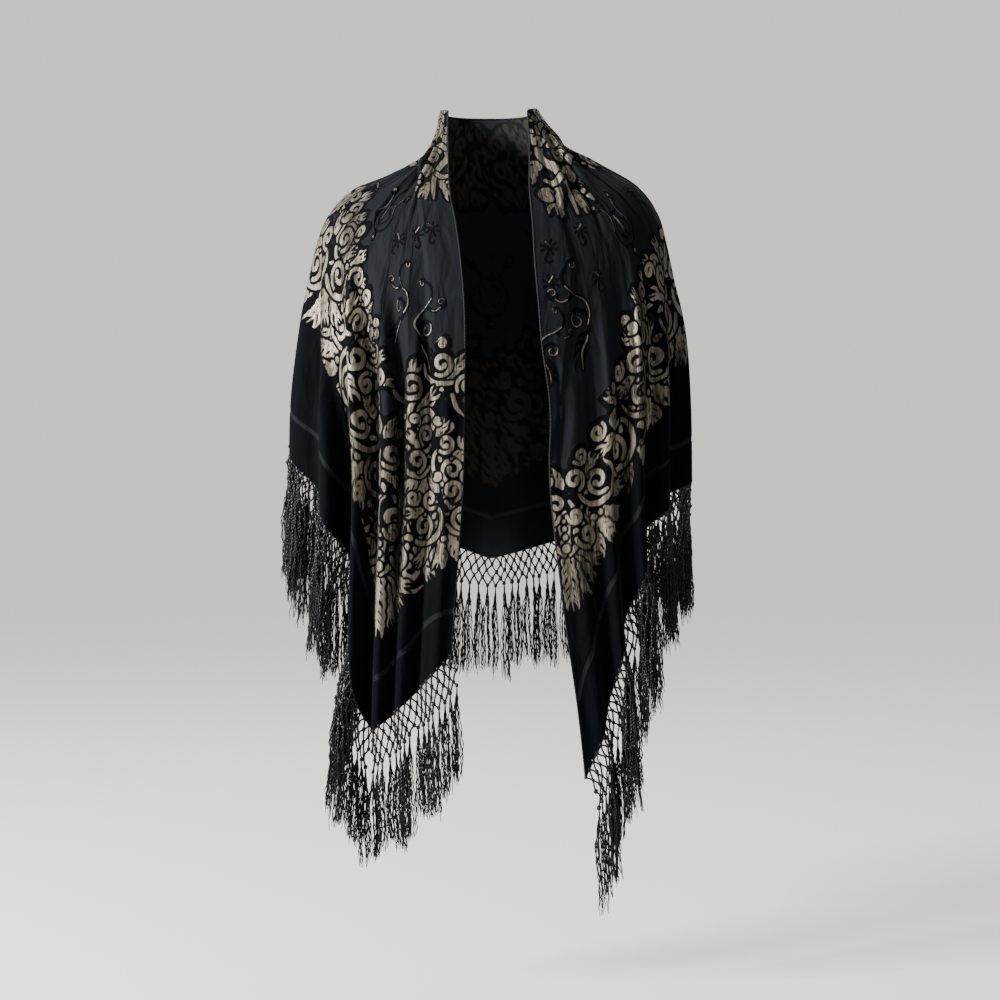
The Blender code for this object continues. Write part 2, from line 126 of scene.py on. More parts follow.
# Main folds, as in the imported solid: around at the top and at the bottom, the heights where each sets in and
# is full, its half width there, and how far it stands out (a trough is negative)
Fold = namedtuple("Fold", "top low z_top z_full half_width stand")
FOLDS = (
    # left front, from the opening edge outwards
    Fold(0.026, 0.018, -0.26, -0.42, 0.012, 0.005),
    Fold(0.050, 0.044, -0.20, -0.40, 0.013, -0.006),
    Fold(0.082, 0.064, -0.16, -0.34, 0.016, 0.008),
    Fold(0.100, 0.077, -0.20, -0.36, 0.012, -0.007),
    Fold(0.118, 0.093, -0.17, -0.36, 0.015, 0.012),
    Fold(0.146, 0.112, -0.19, -0.38, 0.014, -0.010),
    Fold(0.172, 0.130, -0.14, -0.34, 0.018, 0.016),
    Fold(0.202, 0.151, -0.18, -0.44, 0.021, -0.019),
    Fold(0.214, 0.176, -0.14, -0.38, 0.018, 0.008),
    # left side
    Fold(0.236, 0.205, -0.16, -0.34, 0.022, -0.010),
    Fold(0.262, 0.238, -0.13, -0.30, 0.024, 0.008),
    Fold(0.284, 0.268, -0.15, -0.32, 0.026, -0.011),
    Fold(0.312, 0.300, -0.13, -0.30, 0.028, 0.003),
    # back, fanning out from the nape
    Fold(0.338, 0.330, -0.12, -0.34, 0.034, -0.013),
    Fold(0.366, 0.360, -0.08, -0.30, 0.034, 0.010),
    Fold(0.392, 0.388, -0.10, -0.32, 0.030, -0.012),
    Fold(0.424, 0.420, -0.06, -0.26, 0.038, 0.012),
    Fold(0.456, 0.452, -0.09, -0.34, 0.034, -0.010),
    Fold(0.490, 0.488, -0.07, -0.36, 0.040, 0.009),
    Fold(0.522, 0.526, -0.10, -0.30, 0.034, -0.013),
    Fold(0.556, 0.560, -0.06, -0.28, 0.038, 0.011),
    Fold(0.590, 0.596, -0.09, -0.34, 0.034, -0.012),
    Fold(0.622, 0.628, -0.07, -0.30, 0.034, 0.012),
    Fold(0.652, 0.660, -0.12, -0.33, 0.032, -0.012),
    # right side
    Fold(0.684, 0.694, -0.13, -0.30, 0.028, 0.003),
    Fold(0.714, 0.726, -0.15, -0.34, 0.026, -0.011),
    Fold(0.742, 0.758, -0.13, -0.31, 0.024, 0.009),
    Fold(0.768, 0.790, -0.16, -0.36, 0.022, -0.010),
    # right front, towards the opening edge
    Fold(0.792, 0.822, -0.14, -0.36, 0.020, 0.008),
    Fold(0.818, 0.846, -0.18, -0.42, 0.016, -0.013),
    Fold(0.842, 0.872, -0.14, -0.34, 0.018, 0.014),
    Fold(0.872, 0.894, -0.20, -0.40, 0.016, -0.010),
    Fold(0.902, 0.916, -0.18, -0.38, 0.016, 0.008),
    Fold(0.930, 0.940, -0.22, -0.44, 0.014, -0.007),
    Fold(0.962, 0.966, -0.26, -0.44, 0.014, 0.005),
)

# Laps: the cloth beside each opening edge is turned back on itself, one thickness proud, as far as this line
Lap = namedtuple("Lap", "z around_left around_right")
LAPS = (
    Lap(-0.020, 0.210, 0.720),
    Lap(-0.045, 0.200, 0.765),
    Lap(-0.070, 0.165, 0.835),
    Lap(-0.100, 0.095, 0.895),
    Lap(-0.143, 0.066, 0.945),
    Lap(-0.200, 0.050, 0.942),
    Lap(-0.280, 0.045, 0.960),
    Lap(-0.450, 0.041, 1.010),
    Lap(-0.700, 0.039, 1.060),
)

# Soft creases between the main folds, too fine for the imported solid: around at the top and at the bottom, the
# heights of both ends, the half width, and how far each stands out (a trough is negative)
Crease = namedtuple("Crease", "top low z_top z_low half_width stand")
CREASES = (
    # gathers where the left collar is drawn round the neck
    Crease(0.100, 0.082, -0.020, -0.170, 0.0055, 0.0033),
    Crease(0.128, 0.118, -0.012, -0.135, 0.0050, -0.0030),
    Crease(0.152, 0.150, -0.016, -0.180, 0.0060, 0.0036),
    Crease(0.182, 0.196, -0.010, -0.110, 0.0048, -0.0027),
    Crease(0.208, 0.232, -0.014, -0.150, 0.0056, 0.0030),
    Crease(0.236, 0.262, -0.010, -0.095, 0.0050, -0.0025),
    Crease(0.268, 0.290, -0.012, -0.125, 0.0062, 0.0027),
    # and on the right
    Crease(0.705, 0.690, -0.008, -0.105, 0.0058, 0.0027),
    Crease(0.738, 0.728, -0.010, -0.140, 0.0052, -0.0027),
    Crease(0.768, 0.765, -0.008, -0.100, 0.0060, 0.0034),
    Crease(0.800, 0.806, -0.014, -0.165, 0.0050, -0.0030),
    Crease(0.832, 0.850, -0.012, -0.120, 0.0054, 0.0036),
    Crease(0.862, 0.888, -0.018, -0.200, 0.0060, -0.0027),
    Crease(0.898, 0.918, -0.020, -0.140, 0.0050, 0.0032),
    Crease(0.935, 0.946, -0.030, -0.175, 0.0058, -0.0024),
    # left front
    Crease(0.060, 0.056, -0.230, -0.470, 0.0060, 0.0027),
    Crease(0.088, 0.082, -0.300, -0.690, 0.0055, 0.0024),
    Crease(0.128, 0.104, -0.230, -0.560, 0.0060, -0.0027),
    Crease(0.158, 0.122, -0.190, -0.430, 0.0055, 0.0033),
    Crease(0.190, 0.142, -0.210, -0.480, 0.0070, 0.0030),
    Crease(0.228, 0.192, -0.180, -0.400, 0.0080, -0.0024),
    Crease(0.016, 0.010, -0.330, -0.640, 0.0050, -0.0018),
    # left side and back
    Crease(0.274, 0.254, -0.150, -0.330, 0.0090, 0.0024),
    Crease(0.326, 0.318, -0.160, -0.390, 0.0100, 0.0027),
    Crease(0.352, 0.346, -0.090, -0.250, 0.0080, -0.0030),
    Crease(0.380, 0.372, -0.200, -0.440, 0.0110, 0.0021),
    Crease(0.408, 0.405, -0.070, -0.290, 0.0090, -0.0033),
    Crease(0.440, 0.434, -0.180, -0.470, 0.0100, -0.0024),
    Crease(0.474, 0.468, -0.060, -0.240, 0.0090, 0.0036),
    Crease(0.508, 0.506, -0.120, -0.430, 0.0120, 0.0027),
    Crease(0.540, 0.545, -0.060, -0.300, 0.0090, -0.0030),
    Crease(0.574, 0.580, -0.190, -0.460, 0.0100, 0.0024),
    Crease(0.606, 0.612, -0.080, -0.260, 0.0090, -0.0030),
    Crease(0.640, 0.648, -0.210, -0.420, 0.0110, 0.0023),
    Crease(0.670, 0.678, -0.130, -0.350, 0.0090, -0.0027),
    # right side and front
    Crease(0.728, 0.742, -0.150, -0.350, 0.0090, 0.0024),
    Crease(0.756, 0.772, -0.190, -0.430, 0.0080, -0.0025),
    Crease(0.806, 0.834, -0.170, -0.410, 0.0070, 0.0027),
    Crease(0.830, 0.858, -0.240, -0.520, 0.0065, 0.0024),
    Crease(0.858, 0.884, -0.180, -0.400, 0.0060, -0.0027),
    Crease(0.884, 0.906, -0.260, -0.590, 0.0065, 0.0027),
    Crease(0.916, 0.930, -0.220, -0.500, 0.0060, -0.0021),
    Crease(0.948, 0.954, -0.300, -0.680, 0.0060, 0.0021),
    Crease(0.984, 0.986, -0.260, -0.560, 0.0050, -0.0018),
)


def smooth(x: np.ndarray) -> np.ndarray:
    """0 below 0, 1 above 1, and a soft step between."""
    x = np.clip(x, 0, 1)
    return x * x * (3 - 2 * x)


def lengths(points: np.ndarray) -> np.ndarray:
    """The distance along a line of points, at each point, from 0 at the first."""
    return np.concatenate([[0], np.cumsum(np.linalg.norm(np.diff(points, axis=0), axis=1))])


def at_lengths(line: np.ndarray, along: np.ndarray, wanted: np.ndarray) -> np.ndarray:
    """Points of a line at wanted distances, where along is the distance at each of its own points."""
    return np.stack([np.interp(wanted, along, line[:, axis]) for axis in range(line.shape[1])], axis=1)


def read_table(table: tuple, value: str, around: np.ndarray) -> np.ndarray:
    """One column of a table whose rows each have an around, at any around."""
    return np.interp(around, [row.around for row in table], [getattr(row, value) for row in table])


def outward(points: np.ndarray) -> np.ndarray:
    """Unit normals of a grid of points, on the right side of the cloth."""
    normal = np.cross(np.gradient(points, axis=1), np.gradient(points, axis=0))
    return normal / np.maximum(np.linalg.norm(normal, axis=2, keepdims=True), 1e-12)


def rounded(values: np.ndarray, reach: int) -> np.ndarray:
    """Values averaged with their neighbours as far as reach samples away, so that corners turn softly."""
    padded = np.pad(values, reach, mode="reflect", reflect_type="odd")
    return sum(padded[k : k + len(values)] for k in range(2 * reach + 1)) / (2 * reach + 1)


@dataclass
class Cut:
    """A stretch of the cloth as a grid, a row for each step down and a column for each step round.

    Attributes:
        around: around of each column.
        points: the right side of the cloth without its pile.
        across: metres along the girth, for each column.
        down: metres from the neck edge, for each point.
        narrowing: how much narrower the cloth is drawn in here than at the girth.
    """

    around: np.ndarray
    points: np.ndarray
    across: np.ndarray
    down: np.ndarray
    narrowing: np.ndarray


@dataclass
class DrapedForm:
    """The right side of the cloth as a fine grid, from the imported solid's tables and the finer creases."""

    side: float = 0.30
    back: float = 0.50
    squareness: float = 2.4
    widest_edge: float = 0.995
    shoulder_roll: float = 1.5
    lap_stand: float = 0.0036
    lap_softness: float = 0.0065
    girth_ring: float = 8.0
    crease_ease: float = 0.35
    rows: int = 601
    columns: int = 2001
    quarter_samples: int = 240
    hem_rounding: int = 9

    def __post_init__(self) -> None:
        """Works out the grid, the hem and the flat cloth's measures."""
        self.rings = np.linspace(0, len(RINGS) - 1, self.rows)
        self.around = np.linspace(0, 1, self.columns)
        plain = np.stack([self.ring_points(ring) for ring in self.rings])
        girth = np.linalg.norm(np.gradient(plain, axis=1), axis=2) * (self.columns - 1)
        girth_row = int(round(self.girth_ring / self.rings[-1] * (self.rows - 1)))
        self.narrowing = girth / girth[girth_row]
        folded = plain + outward(plain) * self.fold_relief(plain[:, :, 2], girth)[:, :, None]
        self.across = lengths(folded[girth_row])
        self.points = folded + outward(folded) * self.crease_relief(folded[:, :, 2], girth)[:, :, None]
        hem = read_table(HEM, "z", self.around)
        for _ in range(2):
            hem = rounded(hem, self.hem_rounding)
        self.hem = hem

    @staticmethod
    def column(name: str, ring: float) -> float:
        """A column of RINGS at a fractional ring number, on a smooth curve through its rows.

        Args:
            name: the column's name.
            ring: the ring number.

        Returns:
            The value there.
        """
        values = np.array([getattr(row, name) for row in RINGS])
        last = len(values) - 1
        i = min(int(ring), last - 1)
        f = ring - i
        before, here, there, after = values[[max(i - 1, 0), i, i + 1, min(i + 2, last)]]
        return float(
            (2 * f**3 - 3 * f**2 + 1) * here
            + (f**3 - 2 * f**2 + f) * (there - before) / 2
            + (3 * f**2 - 2 * f**3) * there
            + (f**3 - f**2) * (after - here) / 2
        )

    def quarter(
        self, half: float, edge: float, depth: float, share: np.ndarray
    ) -> tuple[np.ndarray, np.ndarray]:
        """Points of a quarter ring seen from above.

        Args:
            half: half the width of the ring.
            edge: how far from the middle the quarter starts.
            depth: how far the ring reaches forwards.
            share: places along its length, 0 at the edge to 1 at the side.

        Returns:
            How far each place lies outwards and forwards.
        """
        start = np.arccos(min(edge / half, self.widest_edge) ** (self.squareness / 2))
        turn = np.linspace(start, 0, self.quarter_samples)
        out = half * np.cos(turn) ** (2 / self.squareness)
        forward = depth * np.abs(np.sin(turn)) ** (2 / self.squareness)
        along = lengths(np.stack([out, forward], axis=1))
        wanted = share * along[-1]
        return np.interp(wanted, along, out), np.interp(wanted, along, forward)

    def ring_points(self, ring: float) -> np.ndarray:
        """Points of one ring, without its folds.

        Args:
            ring: the ring number.

        Returns:
            A point for each column.
        """
        size = Ring(*(self.column(name, float(ring)) for name in Ring._fields))
        points = np.zeros((self.columns, 3))
        for sign, place, half, edge, z_side in (
            (-1, self.around, size.half_left, size.edge_left, size.z_left),
            (1, 1 - self.around, size.half_right, size.edge_right, size.z_right),
        ):
            for middle, y_middle, z_middle, middle_edge in (
                (0.0, size.y_front, size.z_front, edge),
                (self.back, size.y_back, size.z_back, 0.0),
            ):
                share = (place - middle) / (self.side - middle)
                here = (share >= 0) & (share <= 1)
                depth = y_middle - size.y_side
                out, forward = self.quarter(half, middle_edge, depth, share[here])
                lean = np.abs(forward / depth)
                points[here, 0] = sign * out
                points[here, 1] = size.y_side + forward
                points[here, 2] = z_side + (z_middle - z_side) * lean**self.shoulder_roll
        return points

    def ridge(self, place: np.ndarray, girth: np.ndarray, half_width: float) -> np.ndarray:
        """The soft cross-section of a fold: 1 at its place round the cloth, 0 from half its width away."""
        off = np.abs(self.around - place) * girth / half_width
        return np.where(off < 1, np.cos(off * np.pi / 2) ** 2, 0)

    def fold_relief(self, height: np.ndarray, girth: np.ndarray) -> np.ndarray:
        """How far the folds and laps stand out.

        Args:
            height: z of each point.
            girth: metres per unit of around at each point.

        Returns:
            Metres outwards at each point.
        """
        relief = np.zeros_like(height)
        for fold in FOLDS:
            down = smooth((fold.z_top - height) / (fold.z_top - fold.z_full))
            place = fold.top + (fold.low - fold.top) * down
            relief += fold.stand * down * self.ridge(place, girth, fold.half_width)
        drop = [-lap.z for lap in LAPS]
        left = np.interp(-height, drop, [lap.around_left for lap in LAPS])
        right = np.interp(-height, drop, [lap.around_right for lap in LAPS])
        inside = np.maximum(left - self.around, self.around - right) * girth
        return relief + self.lap_stand * smooth(0.5 + inside / self.lap_softness)

    def crease_relief(self, height: np.ndarray, girth: np.ndarray) -> np.ndarray:
        """How far the fine creases stand out, each deepest in its middle and running out at both ends.

        Args:
            height: z of each point.
            girth: metres per unit of around at each point.

        Returns:
            Metres outwards at each point.
        """
        relief = np.zeros_like(height)
        for crease in CREASES:
            down = (crease.z_top - height) / (crease.z_top - crease.z_low)
            strength = smooth(down / self.crease_ease) * smooth((1 - down) / self.crease_ease)
            place = crease.top + (crease.low - crease.top) * np.clip(down, 0, 1)
            relief += crease.stand * strength * self.ridge(place, girth, crease.half_width)
        return relief

    def across_at(self, around: np.ndarray) -> np.ndarray:
        """Metres along the girth at each around."""
        return np.interp(around, self.around, self.across)

    def down_at(self, around: float, z: float) -> float:
        """Metres down the cloth from the neck edge to height z."""
        line = self.line(around, self.points)
        return float(np.interp(-z, -line[:, 2], lengths(line)))

    def line(self, around: float, grid: np.ndarray) -> np.ndarray:
        """One column of a grid.

        Args:
            around: where it lies.
            grid: the grid, a column for each of the form's own.

        Returns:
            The column, between its two nearest ones.
        """
        place = np.clip(around, 0, 1) * (self.columns - 1)
        j = min(int(place), self.columns - 2)
        f = place - j
        return grid[:, j] * (1 - f) + grid[:, j + 1] * f

    def cut(self, around: np.ndarray, rows: int) -> Cut:
        """The cloth between the neck edge and the hem.

        Args:
            around: around of each column.
            rows: how many rows each column has.

        Returns:
            The grid.
        """
        hem = np.interp(around, self.around, self.hem)
        points = np.zeros((rows, len(around), 3))
        down = np.zeros((rows, len(around)))
        narrowing = np.zeros((rows, len(around)))
        for k, place in enumerate(around):
            line = self.line(place, self.points)
            length = lengths(line)
            whole = np.interp(-hem[k], -line[:, 2], length)
            down[:, k] = np.linspace(0, whole, rows)
            narrow = self.line(place, self.narrowing)
            narrowing[:, k] = np.interp(down[:, k], length, narrow)
            points[:, k] = at_lengths(line, length, down[:, k])
        return Cut(around, points, self.across_at(around), down, narrowing)


def new_object(name: str, points: np.ndarray, faces: list) -> bpy.types.Object:
    """Links a mesh of points and faces as a named object at the origin.

    Args:
        name: the piece's name.
        points: its vertices.
        faces: tuples of vertex numbers.

    Returns:
        The object.
    """
    mesh = bpy.data.meshes.new(name)
    mesh.from_pydata(points.tolist(), [], faces)
    thing = bpy.data.objects.new(name, mesh)
    bpy.context.scene.collection.objects.link(thing)
    return thing


def select_only(thing: bpy.types.Object) -> None:
    """Makes one object the only selected one, and the active one.

    Args:
        thing: the object.
    """
    bpy.ops.object.select_all(action="DESELECT")
    thing.select_set(True)
    bpy.context.view_layer.objects.active = thing


def linear(code: str) -> tuple[float, float, float, float]:
    """An sRGB hex colour such as 8a7f6c as linear red, green, blue and alpha."""
    values = [int(code[k : k + 2], 16) / 255 for k in (0, 2, 4)]
    return (*(v / 12.92 if v <= 0.04045 else ((v + 0.055) / 1.055) ** 2.4 for v in values), 1.0)


def set_up(tree: bpy.types.NodeTree, node: bpy.types.Node, settings: dict, links: dict) -> None:
    """Gives a node its values and links.

    Args:
        tree: the node tree.
        node: the node.
        settings: values by attribute name, or by socket name or number where it has no such attribute.
        links: output sockets, or nodes for their first one, by the name or number of the input.
    """
    for key, value in settings.items():
        if isinstance(key, str) and hasattr(node, key):
            setattr(node, key, value)
        else:
            node.inputs[key].default_value = value
    for key, source in links.items():
        socket = source.outputs[0] if isinstance(source, bpy.types.Node) else source
        tree.links.new(socket, node.inputs[key])


def add_node(
    tree: bpy.types.NodeTree, kind: str, settings: dict | None = None, links: dict | None = None
) -> bpy.types.Node:
    """Adds a shader node.

    Args:
        tree: the node tree.
        kind: the node's type, without the word ShaderNode.
        settings: its values, as for set_up.
        links: its links, as for set_up.

    Returns:
        The node.
    """
    node = tree.nodes.new("ShaderNode" + kind)
    set_up(tree, node, settings or {}, links or {})
    return node


def new_material(name: str) -> tuple[bpy.types.Material, bpy.types.NodeTree, bpy.types.Node]:
    """Starts a material.

    Args:
        name: its name.

    Returns:
        The material, its node tree and its shader.
    """
    material = bpy.data.materials.new(name)
    material.use_nodes = True
    return material, material.node_tree, material.node_tree.nodes["Principled BSDF"]


class Lay(Enum):
    """Which coat of the cloth a stroke of the ornament is drawn in."""

    SILVER = "silver pile with a black contour"
    LINE = "black pile alone"
    GLINT = "silver pile inside a black line"


class Motif:
    """One ornament, drawn in millimetres with strokes of varying width.

    It is kept as two fields of signed distance, of its silver and of all its pile, with a sample at every
    pitch and no distance above reach.
    """

    pitch = 0.5
    reach = 16.0

    def __init__(self, half_width: float, half_height: float, contour: float, gap: float = 3.4) -> None:
        """Starts a bare ornament.

        Args:
            half_width: half the width of its field.
            half_height: half the height of its field.
            contour: width of the black pile left round its silver.
            gap: width of the black line where one element lies over another.
        """
        self.half = np.array([half_width, half_height])
        self.contour = contour
        self.gap = gap
        self.size = (2 * self.half / self.pitch).astype(int) + 1
        self.silver = np.full(self.size, self.reach)
        self.pile = np.full(self.size, self.reach)

    def swept(self, strokes: list) -> np.ndarray:
        """Measures some strokes together.

        Args:
            strokes: the points and the widths of each.

        Returns:
            The distance to their edge at each sample, negative inside.
        """
        field = np.full(self.size, self.reach)
        for points, widths in strokes:
            for p, q, a, b in zip(points, points[1:], widths, widths[1:]):
                room = max(a, b) + self.reach / 2
                low = np.floor((np.minimum(p, q) - room + self.half) / self.pitch).astype(int)
                high = np.ceil((np.maximum(p, q) + room + self.half) / self.pitch).astype(int)
                low = np.clip(low, 0, self.size)
                high = np.clip(high, 0, self.size)
                if (high <= low).any():
                    continue
                u = np.arange(low[0], high[0])[:, None] * self.pitch - self.half[0]
                v = np.arange(low[1], high[1])[None, :] * self.pitch - self.half[1]
                move = q - p
                share = ((u - p[0]) * move[0] + (v - p[1]) * move[1]) / max(move @ move, 1e-9)
                share = np.clip(share, 0, 1)
                away = np.hypot(u - p[0] - share * move[0], v - p[1] - share * move[1])
                place = (slice(low[0], high[0]), slice(low[1], high[1]))
                field[place] = np.minimum(field[place], away - (a + (b - a) * share) / 2)
        return field

    def add(self, *strokes: tuple, lay: Lay = Lay.SILVER) -> None:
        """Lays strokes over what is drawn already, which ends a gap short of them.

        Args:
            strokes: the points and the widths of each.
            lay: the coat that they are drawn in.
        """
        field = self.swept(list(strokes))
        if lay is not Lay.LINE:
            self.silver = np.minimum(np.maximum(self.silver, self.gap - field), field)
        margin = self.contour if lay is Lay.SILVER else 0.0
        if lay is not Lay.GLINT:
            self.pile = np.minimum(self.pile, field - margin)

    def read(self, u: np.ndarray, v: np.ndarray) -> tuple[np.ndarray, np.ndarray]:
        """Reads both fields between their nearest samples.

        Args:
            u: millimetres to the right of the ornament's middle.
            v: millimetres above it.

        Returns:
            The distance to the edge of the silver and of all pile, at each place.
        """
        places = np.stack([u + self.half[0], v + self.half[1]]) / self.pitch
        places = np.clip(places, 0, (self.size - 1.001)[:, None])
        i, j = places.astype(int)
        f, g = places - (i, j)
        out = []
        for field in (self.silver, self.pile):
            near = field[i, j] * (1 - g) + field[i, j + 1] * g
            far = field[i + 1, j] * (1 - g) + field[i + 1, j + 1] * g
            out.append(near * (1 - f) + far * f)
        return out[0], out[1]


def curve(*knots: tuple, widths: tuple = (3.0, 3.0), count: int = 14) -> tuple[np.ndarray, np.ndarray]:
    """A stroke through knots.

    Args:
        knots: places that it passes, in millimetres.
        widths: its width at even steps from end to end.
        count: points between two knots.

    Returns:
        Its points and the width at each.
    """
    p = np.array(knots, float)
    p = np.vstack([2 * p[0] - p[1], p, 2 * p[-1] - p[-2]])
    t = np.linspace(0, 1, count, endpoint=False)[:, None]
    spans = [
        0.5 * (2 * b + (c - a) * t + (2 * a - 5 * b + 4 * c - d) * t**2 + (3 * b - a - 3 * c + d) * t**3)
        for a, b, c, d in zip(p, p[1:], p[2:], p[3:])
    ]
    points = np.vstack([*spans, p[-2:-1]])
    share = lengths(points)
    return points, np.interp(share / share[-1], np.linspace(0, 1, len(widths)), widths)


def volute(
    centre: tuple, radius: float, start: float, turns: float, widths: tuple = (9.0, 5.0), eye: float = 0.0
) -> tuple[np.ndarray, np.ndarray]:
    """A spiral stroke that winds inwards.

    Args:
        centre: its middle.
        radius: where it starts.
        start: the angle where it starts, in degrees from the right, anticlockwise.
        turns: how often it goes round, clockwise if negative.
        widths: its width at the start and inside.
        eye: the radius at which it ends.

    Returns:
        Its points and the width at each.
    """
    count = int(40 * abs(turns)) + 8
    share = np.linspace(0, 1, count)
    angle = np.radians(start) + 2 * np.pi * turns * share
    away = radius + (eye - radius) * share**0.85
    points = np.stack([centre[0] + away * np.cos(angle), centre[1] + away * np.sin(angle)], axis=1)
    return points, np.interp(share, np.linspace(0, 1, len(widths)), widths)


def dot(x: float, y: float, width: float) -> tuple[np.ndarray, np.ndarray]:
    """A round spot."""
    return np.array([[x, y], [x + 0.01, y]]), np.array([width, width])


# One lobe of a leaf, from the rib outwards: how far each knot lies along and beside the rib, in swells of the
# leaf, and the lobe's width there, in steps between two lobes and in millimetres at most
LobeKnot = namedtuple("LobeKnot", "along aside width most")
LOBE = (
    LobeKnot(0.00, 0.00, 0.44, 5.6),
    LobeKnot(0.45, 0.45, 0.46, 5.6),
    LobeKnot(1.15, 0.88, 0.40, 4.8),
    LobeKnot(2.00, 0.86, 0.10, 1.0),
)

# The points of a leaf's rib, the width of a leaf's or drop's tip in millimetres, and how much bare rib lies
# below the first lobe and above the last, in steps between two lobes
RIB_POINTS = 30
TIP_WIDTH = 1.4
FIRST_LOBE = 0.2
BARE_TIP = 0.6


def acanthus(base: tuple, tip: tuple, bow: float, width: float, lobes: int) -> list:
    """A leaf with curling lobes on both sides of a bowed rib.

    Args:
        base: where it grows from.
        tip: where it ends.
        bow: how far the rib bows to its left.
        width: half the leaf's width.
        lobes: how many lobes each side has.

    Returns:
        The strokes of the leaf.
    """
    base, tip = np.array(base, float), np.array(tip, float)
    reach = np.linalg.norm(tip - base)
    side = np.array([base[1] - tip[1], tip[0] - base[0]]) / reach
    middle = (base + tip) / 2 + side * bow * 2
    share = np.linspace(0, 1, RIB_POINTS)
    rib = np.array([(1 - t) ** 2 * base + 2 * t * (1 - t) * middle + t**2 * tip for t in share])
    strokes = [(rib, np.interp(share, [0, 0.3, 1], [width * 0.5, width * 0.6, TIP_WIDTH]))]
    step = reach / (lobes + BARE_TIP)
    widths = np.minimum(np.array([knot.width for knot in LOBE]) * step, [knot.most for knot in LOBE])
    for k in range(lobes):
        t = (k + FIRST_LOBE) / (lobes + BARE_TIP)
        i = int(t * (RIB_POINTS - 1))
        along = rib[min(i + 1, RIB_POINTS - 1)] - rib[max(i - 1, 0)]
        along /= np.linalg.norm(along)
        # widest two fifths of the way up
        swell = width * np.sin(np.pi * (0.25 + 0.62 * t)) ** 0.7
        for turn in (-1, 1):
            out = np.array([-along[1], along[0]]) * turn
            knots = [rib[i] + along * swell * knot.along + out * swell * knot.aside for knot in LOBE]
            strokes.append(curve(*knots, widths=tuple(widths), count=6))
    return strokes


# Rows of an ornament's tables, as acanthus and volute take them
Leaf = namedtuple("Leaf", "base tip bow width lobes")
Volute = namedtuple("Volute", "x y radius start turns width")

# A volute's width along it and the bud in its eye, in its own widths, and that eye's radius in its own radii
VOLUTE_TAPER = (0.7, 1.0, 0.95, 0.6)
VOLUTE_BUD = 1.15
VOLUTE_EYE = 0.26


def composed(m: Motif, leaves: Sequence, volutes: Sequence, stems: Sequence, buds: Sequence) -> Motif:
    """Lays leaves, then stems, then volutes that end in a bud, then loose buds over each other.

    Args:
        m: the bare ornament.
        leaves: rows of Leaf.
        volutes: rows of Volute.
        stems: strokes.
        buds: the place and width of each round bud.

    Returns:
        The same ornament.
    """
    for leaf in leaves:
        m.add(*acanthus(*leaf))
    for stem in stems:
        m.add(stem)
    for v in volutes:
        widths = tuple(v.width * share for share in VOLUTE_TAPER)
        stroke = volute((v.x, v.y), v.radius, v.start, v.turns, widths, v.radius * VOLUTE_EYE)
        m.add(stroke, dot(*stroke[0][-1], v.width * VOLUTE_BUD))
    for bud in buds:
        m.add(dot(*bud))
    return m


# Drops that fill bare places: the air left round them, the least and the most room that they take, in
# millimetres, and how far each is turned against the one before, in radians
DROP_AIR = 0.6
DROP_LEAST = 2.4
DROP_MOST = 6.0
DROP_TURN = 2.4


def filled(m: Motif, low: tuple, high: tuple, count: int) -> Motif:
    """Sets small curled drops into the widest bare places of a field.

    Args:
        m: the ornament.
        low: the lowest corner of the part to fill.
        high: its highest corner.
        count: at most how many drops.

    Returns:
        The same ornament.
    """
    i0, j0 = ((np.array(low) + m.half) / m.pitch).astype(int)
    i1, j1 = ((np.array(high) + m.half) / m.pitch).astype(int)
    for k in range(count):
        part = m.silver[i0:i1, j0:j1]
        i, j = np.unravel_index(np.argmax(part), part.shape)
        room = part[i, j] - m.gap - DROP_AIR
        if room < DROP_LEAST:
            break
        room = min(room, DROP_MOST)
        centre = np.array([i + i0, j + j0]) * m.pitch - m.half
        way = np.array([np.cos(DROP_TURN * k), np.sin(DROP_TURN * k)])
        bend = np.array([-way[1], way[0]])
        knots = (
            centre - way * room * 0.5,
            centre + bend * room * 0.2,
            centre + way * room * 1.1 - bend * room * 0.3,
        )
        m.add(curve(*knots, widths=(room * 1.5, room * 1.2, TIP_WIDTH), count=5))
    return m


def scroll_unit() -> Motif:
    """The repeat of the border: a lyre of volutes over a spray of leaves, with smaller scrolls as a crest."""
    m = composed(
        Motif(80, 90, contour=9.0, gap=4.0),
        leaves=(
            Leaf((-34, -32), (-72, -66), 6, 11, 4),
            Leaf((30, -32), (68, -68), -6, 11, 4),
            Leaf((-2, -28), (-24, -86), 5, 13, 5),
            Leaf((14, -28), (28, -80), -4, 11, 4),
            Leaf((-26, 12), (-76, 24), -5, 10, 4),
            Leaf((40, 12), (78, 36), 5, 9, 3),
            Leaf((4, 50), (-6, 86), 3, 9, 3),
        ),
        stems=(
            curve(
                (-76, 6), (-73, -14), (-58, -31), (-36, -36), (-14, -28), (0, -8), (2, 10), (-4, 24),
                widths=(3, 6, 9, 10, 10, 9, 8, 6),
            ),
            curve((76, 0), (72, -19), (58, -33), (38, -35), (20, -27), (10, -12), widths=(3, 6, 9, 10, 9, 6)),
            curve((16, 30), (24, 16), (40, 14), widths=(5, 8, 6)),
        ),
        volutes=(
            Volute(-42, -4, 24, -80, 1.25, 9.5),
            Volute(42, -6, 22, 255, -1.25, 9.0),
            Volute(-18, 40, 19, -60, -1.2, 8.5),
            Volute(32, 46, 20, -80, 1.25, 8.5),
            Volute(-56, 52, 15, 20, -1.2, 7.5),
            Volute(64, 66, 12, 220, -1.1, 6.5),
            Volute(8, 78, 9, 200, 1.1, 6.0),
        ),
        buds=((0, -36, 10), (-36, 16, 6)),
    )
    return filled(m, (-70, -60), (70, 30), 5)


